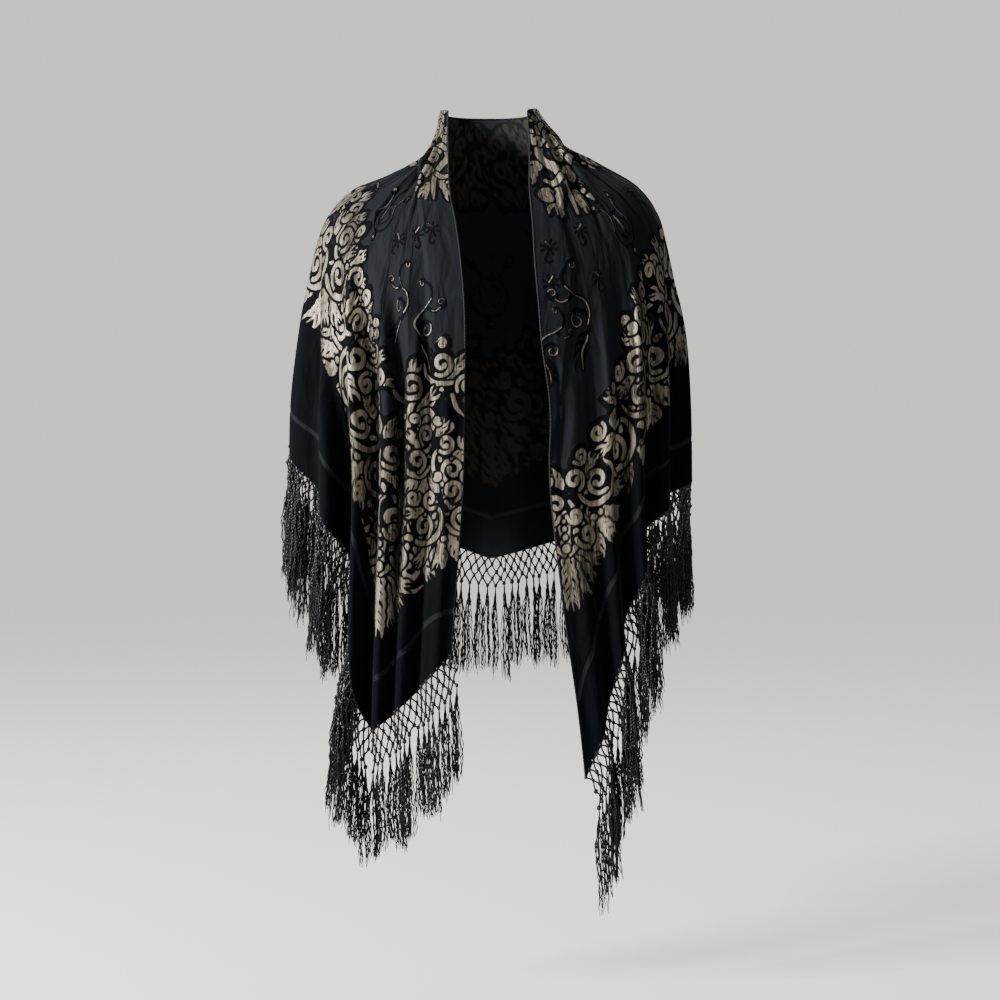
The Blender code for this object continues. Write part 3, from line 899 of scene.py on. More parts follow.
def scroll_crest() -> Motif:
    """The scrolls along the band's inner side: two volutes on one waving stem, with a leaf between them."""
    return composed(
        Motif(68, 52, contour=9.0, gap=4.0),
        leaves=(
            Leaf((-4, -20), (-2, 42), 4, 11, 4),
            Leaf((38, -8), (60, 32), 6, 9, 3),
        ),
        stems=(
            curve((-64, -30), (-44, -42), (-20, -38), (0, -20), (10, -6), widths=(3, 8, 10, 9, 6)),
            curve((64, -40), (42, -38), (22, -28), widths=(3, 9, 8)),
        ),
        volutes=(
            Volute(-32, -2, 23, -80, 1.25, 9.5),
            Volute(30, 4, 21, 255, -1.25, 9.0),
            Volute(-58, 24, 11, 200, -1.1, 6.5),
        ),
        buds=((0, -36, 9),),
    )


def corner_palmette() -> Motif:
    """The ornament of each corner: a fan of long leaves that points out of it, between two volutes."""
    leaves, volutes, stems, buds = [], [], [], [(0, 14, 14), (0, 32, 9), (0, 46, 8), (0, 58, 6)]
    for side in (-1, 1):
        leaves += [
            Leaf((side * 16, 8), (side * 66, -8), side * -5, 10, 4),
            Leaf((side * 12, 2), (side * 52, -40), side * -5, 11, 4),
            Leaf((side * 8, -2), (side * 28, -68), side * -4, 11, 5),
        ]
        volutes += [
            Volute(side * 40, 32, 22, 90 + side * 100, side * 1.25, 9.5),
            Volute(side * 20, 66, 14, 90 + side * 90, side * 1.2, 7.5),
        ]
        stems += [
            curve((side * 4, 4), (side * 12, 12), (side * 20, 20), widths=(7, 9, 7)),
            curve((side * 8, 50), (side * 5, 34), (side * 6, 20), widths=(5, 7, 6)),
        ]
    leaves.append(Leaf((0, 6), (0, -88), 0, 13, 6))
    m = composed(Motif(76, 94, contour=8.0, gap=3.6), leaves, volutes, stems, buds)
    return filled(m, (-60, -20), (60, 70), 6)


def collar_scroll() -> Motif:
    """A bold branch for the neck: a broad waving stem with volutes in its bends and leaves between."""
    m = composed(
        Motif(46, 84, contour=5.0, gap=3.0),
        leaves=(
            Leaf((-4, 52), (-30, 76), -4, 10, 3),
            Leaf((8, -40), (32, -74), 4, 10, 3),
            Leaf((-8, -46), (-22, -80), -3, 10, 3),
            Leaf((14, 6), (42, -22), 4, 9, 3),
        ),
        stems=(
            curve(
                (6, 80), (-4, 58), (2, 36), (10, 16), (0, -8), (-6, -32), (2, -78),
                widths=(5, 9, 11, 12, 12, 10, 4),
            ),
            curve((2, 34), (-10, 40), (-22, 34), widths=(9, 9, 6)),
            curve((-4, -24), (10, -30), (22, -24), widths=(9, 9, 6)),
        ),
        volutes=(
            Volute(24, 46, 17, 215, -1.3, 9.5),
            Volute(-22, 14, 18, 40, 1.3, 9.5),
            Volute(26, 74, 10, 230, -1.1, 6.5),
            Volute(-26, -24, 14, 20, 1.3, 8.0),
            Volute(30, -46, 11, 150, -1.1, 7.0),
        ),
        buds=((-4, 66, 8), (-34, 50, 8), (38, 18, 8), (-36, -52, 7)),
    )
    return filled(m, (-42, -76), (42, 78), 6)


def daisy() -> Motif:
    """A small flower of the field in black pile, with a curl under it and a painted highlight drawn in silver
    pile.
    """
    m = Motif(14, 17, contour=0.0)
    for k in range(8):
        turn = 2 * np.pi * k / 8 + 0.2
        way = np.array([np.cos(turn), np.sin(turn)])
        m.add(curve(way * 2.4 + (0, 3), way * 8.2 + (0, 3), widths=(1.6, 3.0), count=3), lay=Lay.LINE)
    m.add(dot(0, 3, 3.2), lay=Lay.LINE)
    m.add(curve((0, -5), (3, -9), (0, -13), (-4, -11), widths=(1.6, 2.6, 2.2)), lay=Lay.LINE)
    # painted highlight: a thin stroke of silver pile across the flower
    m.add(curve((-2, 4), (4, 9), widths=(1.0, 1.3), count=3), lay=Lay.GLINT)
    return m


def field_sprig() -> Motif:
    """A slender scrolling stem with a leafy tail, black with a thin silver edge."""
    m = Motif(42, 66, contour=0.0)
    stems = (
        curve(
            (4, 60), (14, 48), (12, 34), (0, 24), (-14, 16), (-22, 2), (-16, -12),
            widths=(4, 5, 5, 5, 6, 6, 6),
        ),
        volute((-2, -6), 15, 200, -1.3, (6, 5, 4.5), 3),
        curve((0, 24), (16, 16), (26, 20), widths=(5, 5, 4)),
        volute((28, 27), 8, -110, 1.1, (4.5, 4, 4), 2),
        volute((-2, 58), 7, 20, 1.0, (4.5, 4, 4), 2),
        curve((-20, -2), (-14, -24), (-4, -42), (-2, -62), widths=(6, 6, 5, 3)),
    )
    tail = acanthus((-14, -20), (2, -62), 4, 9, 4)
    m.add(*stems, lay=Lay.LINE)
    m.add(*tail, lay=Lay.LINE)
    for points, widths in stems:
        lit = len(points) // 3
        m.add((points[lit:], widths[lit:] * 0.34), lay=Lay.GLINT)
    return m


def field_shell() -> Motif:
    """A winged cartouche of the field, outlined in black with silver ends."""
    m = Motif(38, 48, contour=0.0)
    for side in (-1, 1):
        wing = ((0, -30), (side * 16, -24), (side * 24, -6), (side * 12, 12), (side * 20, 30))
        m.add(curve(*wing, widths=(3.4, 3.6, 3.8, 3.6, 3.2)), lay=Lay.LINE)
        start = -90 - side * 30
        m.add(volute((side * 24, 34), 8, start, side * 1.1, (4, 3.6, 3.2), 2), lay=Lay.LINE)
        m.add(curve((side * 4, -20), (side * 13, -8), (side * 5, 6), widths=(2.8, 3.0, 2.6)), lay=Lay.LINE)
        m.add(dot(side * 24, 34, 5), lay=Lay.GLINT)
        m.add(curve((side * 23, -4), (side * 12, 12), (side * 19, 28), widths=(1.2, 1.8, 1.2)), lay=Lay.GLINT)
    m.add(curve((0, -18), (0, 14), widths=(2.6, 3.2)), lay=Lay.LINE)
    m.add(curve((0, -10), (0, 10), widths=(1.4, 2.0)), lay=Lay.GLINT)
    m.add(curve((-14, 20), (0, 14), (14, 20), widths=(3, 3.4, 3)), lay=Lay.LINE)
    m.add(curve((0, 16), (3, 30), (0, 44), widths=(3.4, 3, 2)), lay=Lay.LINE)
    m.add(volute((0, -38), 7, 90, 1.1, (4, 3.6, 3.2), 2), lay=Lay.LINE)
    m.add(dot(0, -38, 5), lay=Lay.GLINT)
    return m


# One ornament on the worn cloth: its place, its turn in degrees, its size against the drawing, and whether it
# is mirrored
Stamp = namedtuple("Stamp", "motif around z turn size mirror")

def pair(motif: Motif, around: float, z: float, turn: float, size: float) -> tuple[Stamp, Stamp]:
    """An ornament on the left half of the back, and its mirror image on the right half."""
    return Stamp(motif, around, z, turn, size, False), Stamp(motif, 1 - around, z, -turn, size, True)


# The band round the cloth: its outer limit in metres from the hem, which leaves a wider black border at the
# sides, and how far inwards from there the ground behind its scrolls is black
Limit = namedtuple("Limit", "around from_hem ground")
LIMITS = (
    Limit(0.000, 0.070, 0.215),
    Limit(0.050, 0.067, 0.195),
    Limit(0.078, 0.065, 0.118),
    Limit(0.110, 0.064, 0.108),
    Limit(0.135, 0.080, 0.108),
    Limit(0.165, 0.122, 0.096),
    Limit(0.210, 0.152, 0.090),
    Limit(0.300, 0.150, 0.086),
    Limit(0.420, 0.105, 0.094),
    Limit(0.500, 0.085, 0.108),
    Limit(0.580, 0.105, 0.094),
    Limit(0.700, 0.140, 0.086),
    Limit(0.760, 0.132, 0.086),
    Limit(0.830, 0.104, 0.084),
    Limit(0.880, 0.074, 0.078),
    Limit(1.000, 0.066, 0.084),
)


class Scroll(Enum):
    """The ornaments that repeat along the band."""

    UNIT = "a lyre of volutes over leaves"
    CREST = "two volutes on one waving stem"


# Rows of scrolls that make up the band, the innermost first because each lies over the one before: the
# ornament, metres inwards from that limit, its size, metres between two, and around where the row starts and
# ends
BandRow = namedtuple("BandRow", "scroll inwards size pitch start end")
BAND_ROWS = (
    BandRow(Scroll.CREST, 0.232, 0.62, 0.078, 0.000, 0.048),
    BandRow(Scroll.CREST, 0.178, 0.70, 0.090, 0.000, 0.070),
    BandRow(Scroll.CREST, 0.156, 0.60, 0.074, 0.100, 0.340),
    BandRow(Scroll.CREST, 0.146, 0.62, 0.080, 0.340, 0.860),
    BandRow(Scroll.UNIT, 0.060, 0.70, 0.104, 0.868, 1.000),
    BandRow(Scroll.UNIT, 0.076, 0.80, 0.120, 0.000, 0.868),
)


@dataclass
class Ornament:
    """The pattern of the whole cloth: a black border with one bare line, a scroll band and a field.

    Attributes:
        form: the drape.
        line_at: metres from the hem to the bare line.
        line_width: metres that the bare line is wide.
        lean: how far the band's scrolls are turned out of line, in radians at most.
        unevenness: how far their sizes differ, as a share at most.
        lean_beat: how fast the turn changes from one scroll to the next, in radians.
        size_beat: how fast the size does.
        hem_samples: places along the hem.
    """

    form: DrapedForm
    line_at: float = 0.050
    line_width: float = 0.0056
    lean: float = 0.25
    unevenness: float = 0.07
    lean_beat: float = 2.1
    size_beat: float = 1.7
    hem_samples: int = 1600

    def __post_init__(self) -> None:
        """Lays the hem out flat and spaces the band's ornaments along it."""
        around = self.hem_around = np.linspace(0, 1, self.hem_samples)
        heights = np.interp(around, self.form.around, self.form.hem)
        down = [self.form.down_at(a, z) for a, z in zip(around, heights)]
        self.hem = np.array([self.form.across_at(around), down])
        self.stamps = [*self.band(), *self.scattered()]

    @staticmethod
    def limit(around: np.ndarray) -> np.ndarray:
        """Metres from the hem to the band's outer limit, at each around."""
        return read_table(LIMITS, "from_hem", around)

    def from_hem(self, across: np.ndarray, down: np.ndarray) -> np.ndarray:
        """Measures places on the flat cloth from the hem.

        Args:
            across: metres along the girth.
            down: metres from the neck edge.

        Returns:
            Metres to the nearest place on the hem.
        """
        nearest = np.full(across.shape, np.inf)
        for k in range(0, self.hem_samples, 2):
            away = (across - self.hem[0, k]) ** 2 + (down - self.hem[1, k]) ** 2
            np.minimum(nearest, away, out=nearest)
        return np.sqrt(nearest)

    def band(self) -> list[tuple]:
        """Places the scrolls of every row of the band, each row half a step out of line with the next.

        Returns:
            For each, its motif, place across and down, turn, size and mirroring.
        """
        x, y = self.hem
        drawn = {Scroll.UNIT: scroll_unit(), Scroll.CREST: scroll_crest()}
        made = []
        for number, row in enumerate(BAND_ROWS):
            reaches = self.limit(self.hem_around) + row.inwards
            level = np.array([
                np.min((y - np.sqrt(np.maximum(reach**2 - (x - here) ** 2, 0)))[np.abs(x - here) < reach])
                for here, reach in zip(x, reaches)
            ])
            path = np.stack([x, level], axis=1)
            along = lengths(path)
            slope = np.gradient(path, axis=0)
            turn = np.arctan2(-slope[:, 1], slope[:, 0])
            first, last = np.interp(self.form.across_at(np.array([row.start, row.end])), x, along)
            count = round((last - first) / row.pitch)
            for k in range(count):
                distance = first + (k + 0.25 + 0.5 * (number % 2)) * (last - first) / count
                at = [float(np.interp(distance, along, path[:, axis])) for axis in (0, 1)]
                lean = float(np.interp(distance, along, turn))
                lean += self.lean * np.sin(self.lean_beat * k + number)
                size = row.size * (1 + self.unevenness * np.sin(self.size_beat * k + 2 * number))
                made.append((drawn[row.scroll], *at, lean, size, (k + number) % 2 == 0))
        return made

    def scattered(self) -> list[tuple]:
        """Places the ornaments of the neck and the field, from a table of their places on the worn cloth.

        Returns:
            For each, its motif, place across and down, turn, size and mirroring.
        """
        unit, palmette, collar = scroll_unit(), corner_palmette(), collar_scroll()
        flower, sprig, shell = daisy(), field_sprig(), field_shell()
        table = (
            # leaves that point out of the corners
            Stamp(unit, 0.036, -0.428, 12, 0.60, False),
            Stamp(unit, 0.024, -0.492, -14, 0.62, True),
            Stamp(palmette, 0.097, -0.556, 0, 0.80, False),
            Stamp(palmette, 0.500, -0.380, 0, 0.95, False),
            Stamp(palmette, 0.985, -0.535, 0, 0.70, False),
            # bold scrolls round the neck
            Stamp(collar, 0.920, -0.078, -6, 1.05, False),
            Stamp(collar, 0.034, -0.078, 6, 0.78, True),
            Stamp(collar, 0.800, -0.040, -40, 0.80, True),
            Stamp(collar, 0.190, -0.030, 40, 0.70, False),
            *pair(unit, 0.350, -0.035, 0, 0.60),
            *pair(unit, 0.450, -0.055, 0, 0.66),
            # left front
            Stamp(flower, 0.042, -0.167, 0, 1.2, False),
            Stamp(flower, 0.098, -0.178, 20, 1.2, False),
            Stamp(flower, 0.067, -0.171, -15, 1.2, True),
            Stamp(shell, 0.135, -0.140, 10, 0.95, False),
            Stamp(sprig, 0.048, -0.275, -8, 0.85, True),
            Stamp(sprig, 0.084, -0.248, 12, 0.80, False),
            Stamp(flower, 0.215, -0.105, 0, 1.1, False),
            # right front
            Stamp(flower, 0.978, -0.189, 10, 1.2, False),
            Stamp(flower, 0.920, -0.167, 0, 1.2, True),
            Stamp(flower, 0.979, -0.231, -10, 1.2, True),
            Stamp(flower, 0.862, -0.108, 15, 1.2, False),
            Stamp(flower, 0.908, -0.222, 0, 1.1, False),
            Stamp(shell, 0.846, -0.151, -14, 1.05, True),
            Stamp(sprig, 0.949, -0.263, 0, 1.0, False),
            Stamp(sprig, 0.985, -0.300, 10, 0.7, True),
            Stamp(flower, 0.775, -0.110, 0, 1.1, False),
            # back
            Stamp(shell, 0.500, -0.205, 0, 1.1, False),
            *pair(sprig, 0.425, -0.180, 8, 0.75),
            *pair(flower, 0.460, -0.135, 0, 1.0),
            *pair(flower, 0.375, -0.155, 12, 1.0),
            *pair(flower, 0.330, -0.130, 0, 1.0),
            *pair(shell, 0.310, -0.190, 0, 0.9),
        )
        return [
            (
                row.motif,
                float(self.form.across_at(np.array([row.around]))[0]),
                self.form.down_at(row.around, row.z),
                np.radians(row.turn),
                row.size,
                row.mirror,
            )
            for row in table
        ]

    def fields(self, cut: Cut) -> tuple[np.ndarray, np.ndarray]:
        """How far each point of a cut lies outside the silver, and outside the pile as a whole.

        Args:
            cut: the grid.

        Returns:
            Millimetres to the edge of the silver and of all pile, negative inside.
        """
        across = np.broadcast_to(cut.across, cut.down.shape)
        silver = np.full(cut.down.shape, Motif.reach)
        pile = np.full(cut.down.shape, Motif.reach)
        for motif, x, y, turn, size, mirror in self.stamps:
            u = (across - x) * cut.narrowing * 1000 / size
            v = (y - cut.down) * 1000 / size
            far = np.hypot(*motif.half)
            near = (np.abs(u) < far) & (np.abs(v) < far)
            if not near.any():
                continue
            u, v = u[near], v[near]
            u, v = u * np.cos(turn) + v * np.sin(turn), v * np.cos(turn) - u * np.sin(turn)
            if mirror:
                u = -u
            inside = (np.abs(u) < motif.half[0]) & (np.abs(v) < motif.half[1])
            s, p = motif.read(u, v)
            s = np.where(inside, s * size, Motif.reach)
            p = np.where(inside, p * size, Motif.reach)
            silver[near] = np.minimum(np.maximum(silver[near], motif.gap * size - s), s)
            pile[near] = np.minimum(pile[near], p)
        hem = self.from_hem(across, cut.down)
        outer = self.limit(cut.around)
        ground = read_table(LIMITS, "ground", cut.around)
        pile = np.minimum(pile, (hem - outer - ground) * 1000)
        pile = np.maximum(pile, (self.line_width / 2 - np.abs(hem - self.line_at)) * 1000)
        silver = np.maximum(silver, (outer - hem) * 1000)
        return silver, pile


def edge_masks(tree: bpy.types.NodeTree, reach: float, fray: bpy.types.Node | None = None) -> list:
    """Masks of the silver pile and of all pile, from the distances kept on the mesh.

    Args:
        tree: the node tree.
        reach: how soft their edges are, in millimetres to each side.
        fray: a node whose uneven value is added to the distances, if any.

    Returns:
        The node of each mask, 1 inside.
    """
    masks = []
    for name in ("silver_edge", "pile_edge"):
        edge = add_node(tree, "Attribute", {"attribute_name": name}).outputs["Fac"]
        if fray:
            edge = add_node(tree, "Math", {"operation": "ADD"}, {0: edge, 1: fray})
        soft = {"interpolation_type": "SMOOTHSTEP", "From Min": reach, "From Max": -reach}
        masks.append(add_node(tree, "MapRange", soft, {0: edge}))
    return masks


@dataclass(frozen=True)
class VelvetFinish:
    """Rayon velvet with its pile burned out in places down to a silk chiffon ground.

    The chiffon is matt and dark, the standing pile swallows light, and the printed silver pile has painted
    sheen and
    painted shade in its colour: lighter and darker streaks down its lay and soft patches, standing for where it
    would gleam and where it would turn from the light.
    """

    name: str = "devore_velvet"
    chiffon: str = "131519"
    black_pile: str = "030407"
    silver_painted_shade: str = "2a261f"
    silver_painted_sheen: str = "93897a"
    sheen: str = "b8bcc6"
    fray: float = 0.45
    silver_gleam: float = 0.45
    thread_shade: float = 0.86
    grain_scale: float = 1400.0
    streak_scale: float = 55.0
    weave_pitch: float = 0.0011

    def material(self) -> bpy.types.Material:
        """Builds the material of the right side."""
        material, tree, shader = new_material(self.name)
        node = partial(add_node, tree)
        flat = node("UVMap", {"uv_map": "flat"})
        # frayed pile edges, about half a millimetre deep
        fuzz = node("TexNoise", {"Scale": self.grain_scale, "Detail": 2.0}, {"Vector": flat})
        fray = node("Math", {"operation": "MULTIPLY_ADD", 1: 2 * self.fray, 2: -self.fray}, {0: fuzz})
        silver, pile = edge_masks(tree, 0.45, fray)
        # painted sheen and shade on the silver pile: lighter and darker streaks down the cloth along its lay,
        # soft blotches and long sweeps
        stretched = node("Mapping", {"Scale": (9.0, 1.0, 1.0)}, {"Vector": flat})
        streak = {"Scale": self.streak_scale, "Detail": 4.0, "Roughness": 0.65}
        streaks = node("TexNoise", streak, {"Vector": stretched})
        sheen_and_shade_blotches = node("TexNoise", {"Scale": 17.0, "Detail": 2.0, "Roughness": 0.55}, {"Vector": flat})
        swept = node("Mapping", {"Scale": (2.8, 0.7, 1.0)}, {"Vector": flat})
        sheen_and_shade_sweeps = node("TexNoise", {"Scale": 10.0, "Detail": 1.5}, {"Vector": swept})
        patches = node("Mix", {"data_type": "FLOAT", 0: 0.60}, {2: sheen_and_shade_blotches, 3: sheen_and_shade_sweeps})
        # the mix of streaks, blotches and sweeps that sets where the silver takes painted sheen and where
        # painted shade
        laid = node("Mix", {"data_type": "FLOAT", 0: 0.55}, {2: streaks, 3: patches})
        lay = node("ValToRGB", {}, {0: laid})
        # the silver's colours run from painted shade to painted sheen
        shades = ((0.42, self.silver_painted_shade), (0.61, self.silver_painted_sheen))
        for stop, (place, code) in zip(lay.color_ramp.elements, shades):
            stop.position = place
            stop.color = linear(code)
        # chiffon weave, drawn three times coarser than it is so that it shows
        chiffon = linear(self.chiffon)
        shaded = (*(self.thread_shade * c for c in chiffon[:3]), 1.0)
        threads = node("TexChecker", {"Scale": 1 / self.weave_pitch}, {"Vector": flat})
        ground = node("Mix", {"data_type": "RGBA", 6: chiffon, 7: shaded}, {0: threads.outputs[1]})
        cloth = node(
            "Mix", {"data_type": "RGBA", 7: linear(self.black_pile)}, {0: pile, 6: ground.outputs[2]}
        )
        colour = node("Mix", {"data_type": "RGBA"}, {0: silver, 6: cloth.outputs[2], 7: lay})
        # matt chiffon, matter black pile, and silver that is smoothest where its streaks are
        plain = node("MapRange", {"To Min": 0.78, "To Max": 0.92}, {0: pile})
        gloss = node(
            "MapRange", {"From Min": 0.3, "From Max": 0.7, "To Min": 0.52, "To Max": 0.36}, {0: streaks}
        )
        rough = node("Mix", {"data_type": "FLOAT"}, {0: silver, 2: plain, 3: gloss})
        gleam = node("Math", {"operation": "MULTIPLY", 1: self.silver_gleam}, {0: silver})
        # the grain of the pile and the ribs of its streaks
        grain = node("Math", {"operation": "MULTIPLY"}, {0: fuzz, 1: pile})
        ribs = node("Math", {"operation": "MULTIPLY"}, {0: streaks, 1: silver})
        height = node("Math", {"operation": "MULTIPLY_ADD", 1: 2.2}, {0: ribs, 2: grain})
        bump = node("Bump", {"Strength": 0.6, "Distance": 0.0004}, {"Height": height})
        # small ripples of worn cloth, 20 to 70 mm apart
        lying = node("Mapping", {"Scale": (1.8, 0.6, 1.0)}, {"Vector": flat})
        ripples = node("TexNoise", {"Scale": 24.0, "Detail": 2.0, "Distortion": 0.6}, {"Vector": lying})
        rippled = node("Bump", {"Strength": 0.55, "Distance": 0.008}, {"Height": ripples, "Normal": bump})
        set_up(
            tree,
            shader,
            {
                "Sheen Weight": 0.03,
                "Sheen Roughness": 0.35,
                "Sheen Tint": linear(self.sheen),
                "Specular IOR Level": 0.06,
            },
            {"Base Color": colour.outputs[2], "Roughness": rough, "Metallic": gleam, "Normal": rippled},
        )
        return material


@dataclass(frozen=True)
class WrongSideFinish:
    """The back of the same cloth: the chiffon, with the roots of the pile showing as a darker tone, both
    painted lighter than the right side's chiffon and pile to stand for light in the shaded inside.
    """

    name: str = "devore_wrong_side"
    # painted light: the chiffon and the pile's roots are lighter than on the right side, to lift the shade
    # inside
    chiffon: str = "202327"
    behind_pile: str = "111316"
    behind_silver: str = "2e2c28"
    weave_pitch: float = 0.0011

    def material(self) -> bpy.types.Material:
        """Builds the material of the wrong side."""
        material, tree, shader = new_material(self.name)
        node = partial(add_node, tree)
        flat = node("UVMap", {"uv_map": "flat"})
        silver, pile = edge_masks(tree, 1.0)
        threads = node("TexChecker", {"Scale": 1 / self.weave_pitch}, {"Vector": flat})
        cloth = node(
            "Mix", {"data_type": "RGBA", 6: linear(self.chiffon), 7: linear(self.behind_pile)}, {0: pile}
        )
        colour = node(
            "Mix", {"data_type": "RGBA", 7: linear(self.behind_silver)}, {0: silver, 6: cloth.outputs[2]}
        )
        bump = node("Bump", {"Strength": 0.25, "Distance": 0.0002}, {"Height": threads.outputs[1]})
        set_up(
            tree,
            shader,
            {"Roughness": 0.82, "Sheen Weight": 0.03, "Specular IOR Level": 0.08},
            {"Base Color": colour.outputs[2], "Normal": bump},
        )
        return material


@dataclass(frozen=True)
class YarnFinish:
    """Plied viscose yarn: black, with the gloss of its straight filaments broken up by the twist."""

    name: str
    dark: str = "020203"
    light: str = "0b0c0e"
    roughness: float = 0.36
    twist_pitch: float = 0.0032

    def material(self) -> bpy.types.Material:
        """Builds the material."""
        material, tree, shader = new_material(self.name)
        node = partial(add_node, tree)
        place = node("TexCoord").outputs["Object"]
        patches = node("TexNoise", {"Scale": 160.0, "Detail": 3.0}, {"Vector": place})
        colour = node(
            "Mix", {"data_type": "RGBA", 6: linear(self.dark), 7: linear(self.light)}, {0: patches}
        )
        # a band for each turn of the ply, slanted so that it reads as twist
        slant = node("Mapping", {"Rotation": (0.5, 0.5, 0.0)}, {"Vector": place})
        scale = WAVE_SCALE / self.twist_pitch
        wave = {"bands_direction": "Z", "Scale": scale, "Distortion": 1.2, "Detail": 2.0}
        plies = node("TexWave", wave, {"Vector": slant})
        bump = node("Bump", {"Strength": 0.7, "Distance": 0.0004}, {"Height": plies.outputs["Fac"]})
        gloss = node(
            "MapRange", {"To Min": self.roughness - 0.06, "To Max": self.roughness + 0.14}, {0: patches}
        )
        set_up(
            tree,
            shader,
            {"Sheen Weight": 0.02, "Specular IOR Level": 0.28},
            {"Base Color": colour.outputs[2], "Roughness": gloss, "Normal": bump},
        )
        return material


@dataclass
class ClothPanel:
    """One stretch of the cloth as a closed thin shell, with the pile standing up from it.

    The stretches are one cloth: each two neighbours end on the same line down it.

    Attributes:
        name: the piece's name.
        start: around where it starts.
        end: around where it ends.
        cell: metres between two points of its right side.
        inner_cell: metres between two points of its wrong side.
        wall: thickness of the cloth without its pile.
        pile: how far the pile stands up.
        pile_step: millimetres over which it comes up.
    """

    name: str
    start: float
    end: float
    cell: float = 0.00135
    inner_cell: float = 0.0052
    wall: float = 0.0009
    pile: float = 0.0005
    pile_step: float = 0.9

    def around(self, form: DrapedForm, cell: float) -> np.ndarray:
        """The around of each column, evenly spaced along the girth."""
        low, high = form.across_at(np.array([self.start, self.end]))
        return np.interp(np.linspace(low, high, round((high - low) / cell) + 1), form.across, form.around)

    def build(
        self, form: DrapedForm, ornament: Ornament, finishes: list[bpy.types.Material]
    ) -> bpy.types.Object:
        """Makes the panel.

        Args:
            form: the drape.
            ornament: the pattern.
            finishes: the materials of the right side and of the wrong side.

        Returns:
            The object.
        """
        mine = (ornament.hem_around >= self.start) & (ornament.hem_around <= self.end)
        longest = float(ornament.hem[1][mine].max())
        rows, inner_rows = round(longest / self.cell) + 1, round(longest / self.inner_cell) + 1
        right = form.cut(self.around(form, self.cell), rows)
        wrong = form.cut(self.around(form, self.inner_cell), inner_rows)
        silver, pile = ornament.fields(right)
        silver_behind, pile_behind = ornament.fields(wrong)
        stand = self.pile * smooth(0.5 - pile / self.pile_step)
        outer = right.points + outward(right.points) * stand[:, :, None]
        inner = wrong.points - outward(wrong.points) * self.wall
        points = np.vstack([outer.reshape(-1, 3), inner.reshape(-1, 3)])
        a = np.arange(outer[:, :, 0].size).reshape(outer.shape[:2])
        b = np.arange(inner[:, :, 0].size).reshape(inner.shape[:2]) + a.size
        front = np.stack([a[:-1, :-1], a[:-1, 1:], a[1:, 1:], a[1:, :-1]], axis=2).reshape(-1, 4)
        back = np.stack([b[:-1, :-1], b[1:, :-1], b[1:, 1:], b[:-1, 1:]], axis=2).reshape(-1, 4)
        edge_a, edge_b = right.around, wrong.around
        down_a, down_b = np.linspace(0, 1, rows), np.linspace(0, 1, inner_rows)
        rims = [
            *self.zipped(a[0], edge_a, b[0], edge_b),
            *self.zipped(a[-1][::-1], -edge_a[::-1], b[-1][::-1], -edge_b[::-1]),
            *self.zipped(a[::-1, 0], -down_a[::-1], b[::-1, 0], -down_b[::-1]),
            *self.zipped(a[:, -1], down_a, b[:, -1], down_b),
        ]
        panel = new_object(self.name, points, [*front.tolist(), *back.tolist(), *rims])
        mesh = panel.data
        for finish in finishes:
            mesh.materials.append(finish)
        slots = np.zeros(len(mesh.polygons), int)
        slots[len(front) : len(front) + len(back)] = 1
        mesh.polygons.foreach_set("material_index", slots)
        for name, first, second in (("silver_edge", silver, silver_behind), ("pile_edge", pile, pile_behind)):
            layer = mesh.attributes.new(name, "FLOAT", "POINT")
            layer.data.foreach_set("value", np.concatenate([first.ravel(), second.ravel()]))
        flat = np.vstack([
            np.stack([np.broadcast_to(cut.across, cut.down.shape).ravel(), cut.down.ravel()], axis=1)
            for cut in (right, wrong)
        ])
        corners = np.zeros(len(mesh.loops), int)
        mesh.loops.foreach_get("vertex_index", corners)
        mesh.uv_layers.new(name="flat").data.foreach_set("uv", flat[corners].ravel())
        select_only(panel)
        bpy.ops.object.shade_smooth_by_angle(angle=np.radians(75))
        self.size = (float(np.ptp(right.across)), float(right.down.max()))
        corner = right.points[:-1, :-1]
        cells = np.cross(right.points[1:, :-1] - corner, right.points[:-1, 1:] - corner)
        self.area = float(np.linalg.norm(cells, axis=2).sum())
        return panel

    @staticmethod
    def zipped(a: np.ndarray, place_a: np.ndarray, b: np.ndarray, place_b: np.ndarray) -> list[tuple]:
        """Triangles that close the rim between two rows of vertices.

        Args:
            a: vertices of the right side's edge, in the order in which its faces pass them.
            place_a: where each lies along the edge.
            b: vertices of the wrong side's edge.
            place_b: where each lies along the edge.

        Returns:
            The faces.
        """
        faces = []
        i = j = 0
        while i < len(a) - 1 or j < len(b) - 1:
            if j == len(b) - 1 or (i < len(a) - 1 and place_a[i + 1] <= place_b[j + 1]):
                faces.append((int(a[i + 1]), int(a[i]), int(b[j])))
                i += 1
            else:
                faces.append((int(b[j]), int(b[j + 1]), int(a[i])))
                j += 1
        return faces


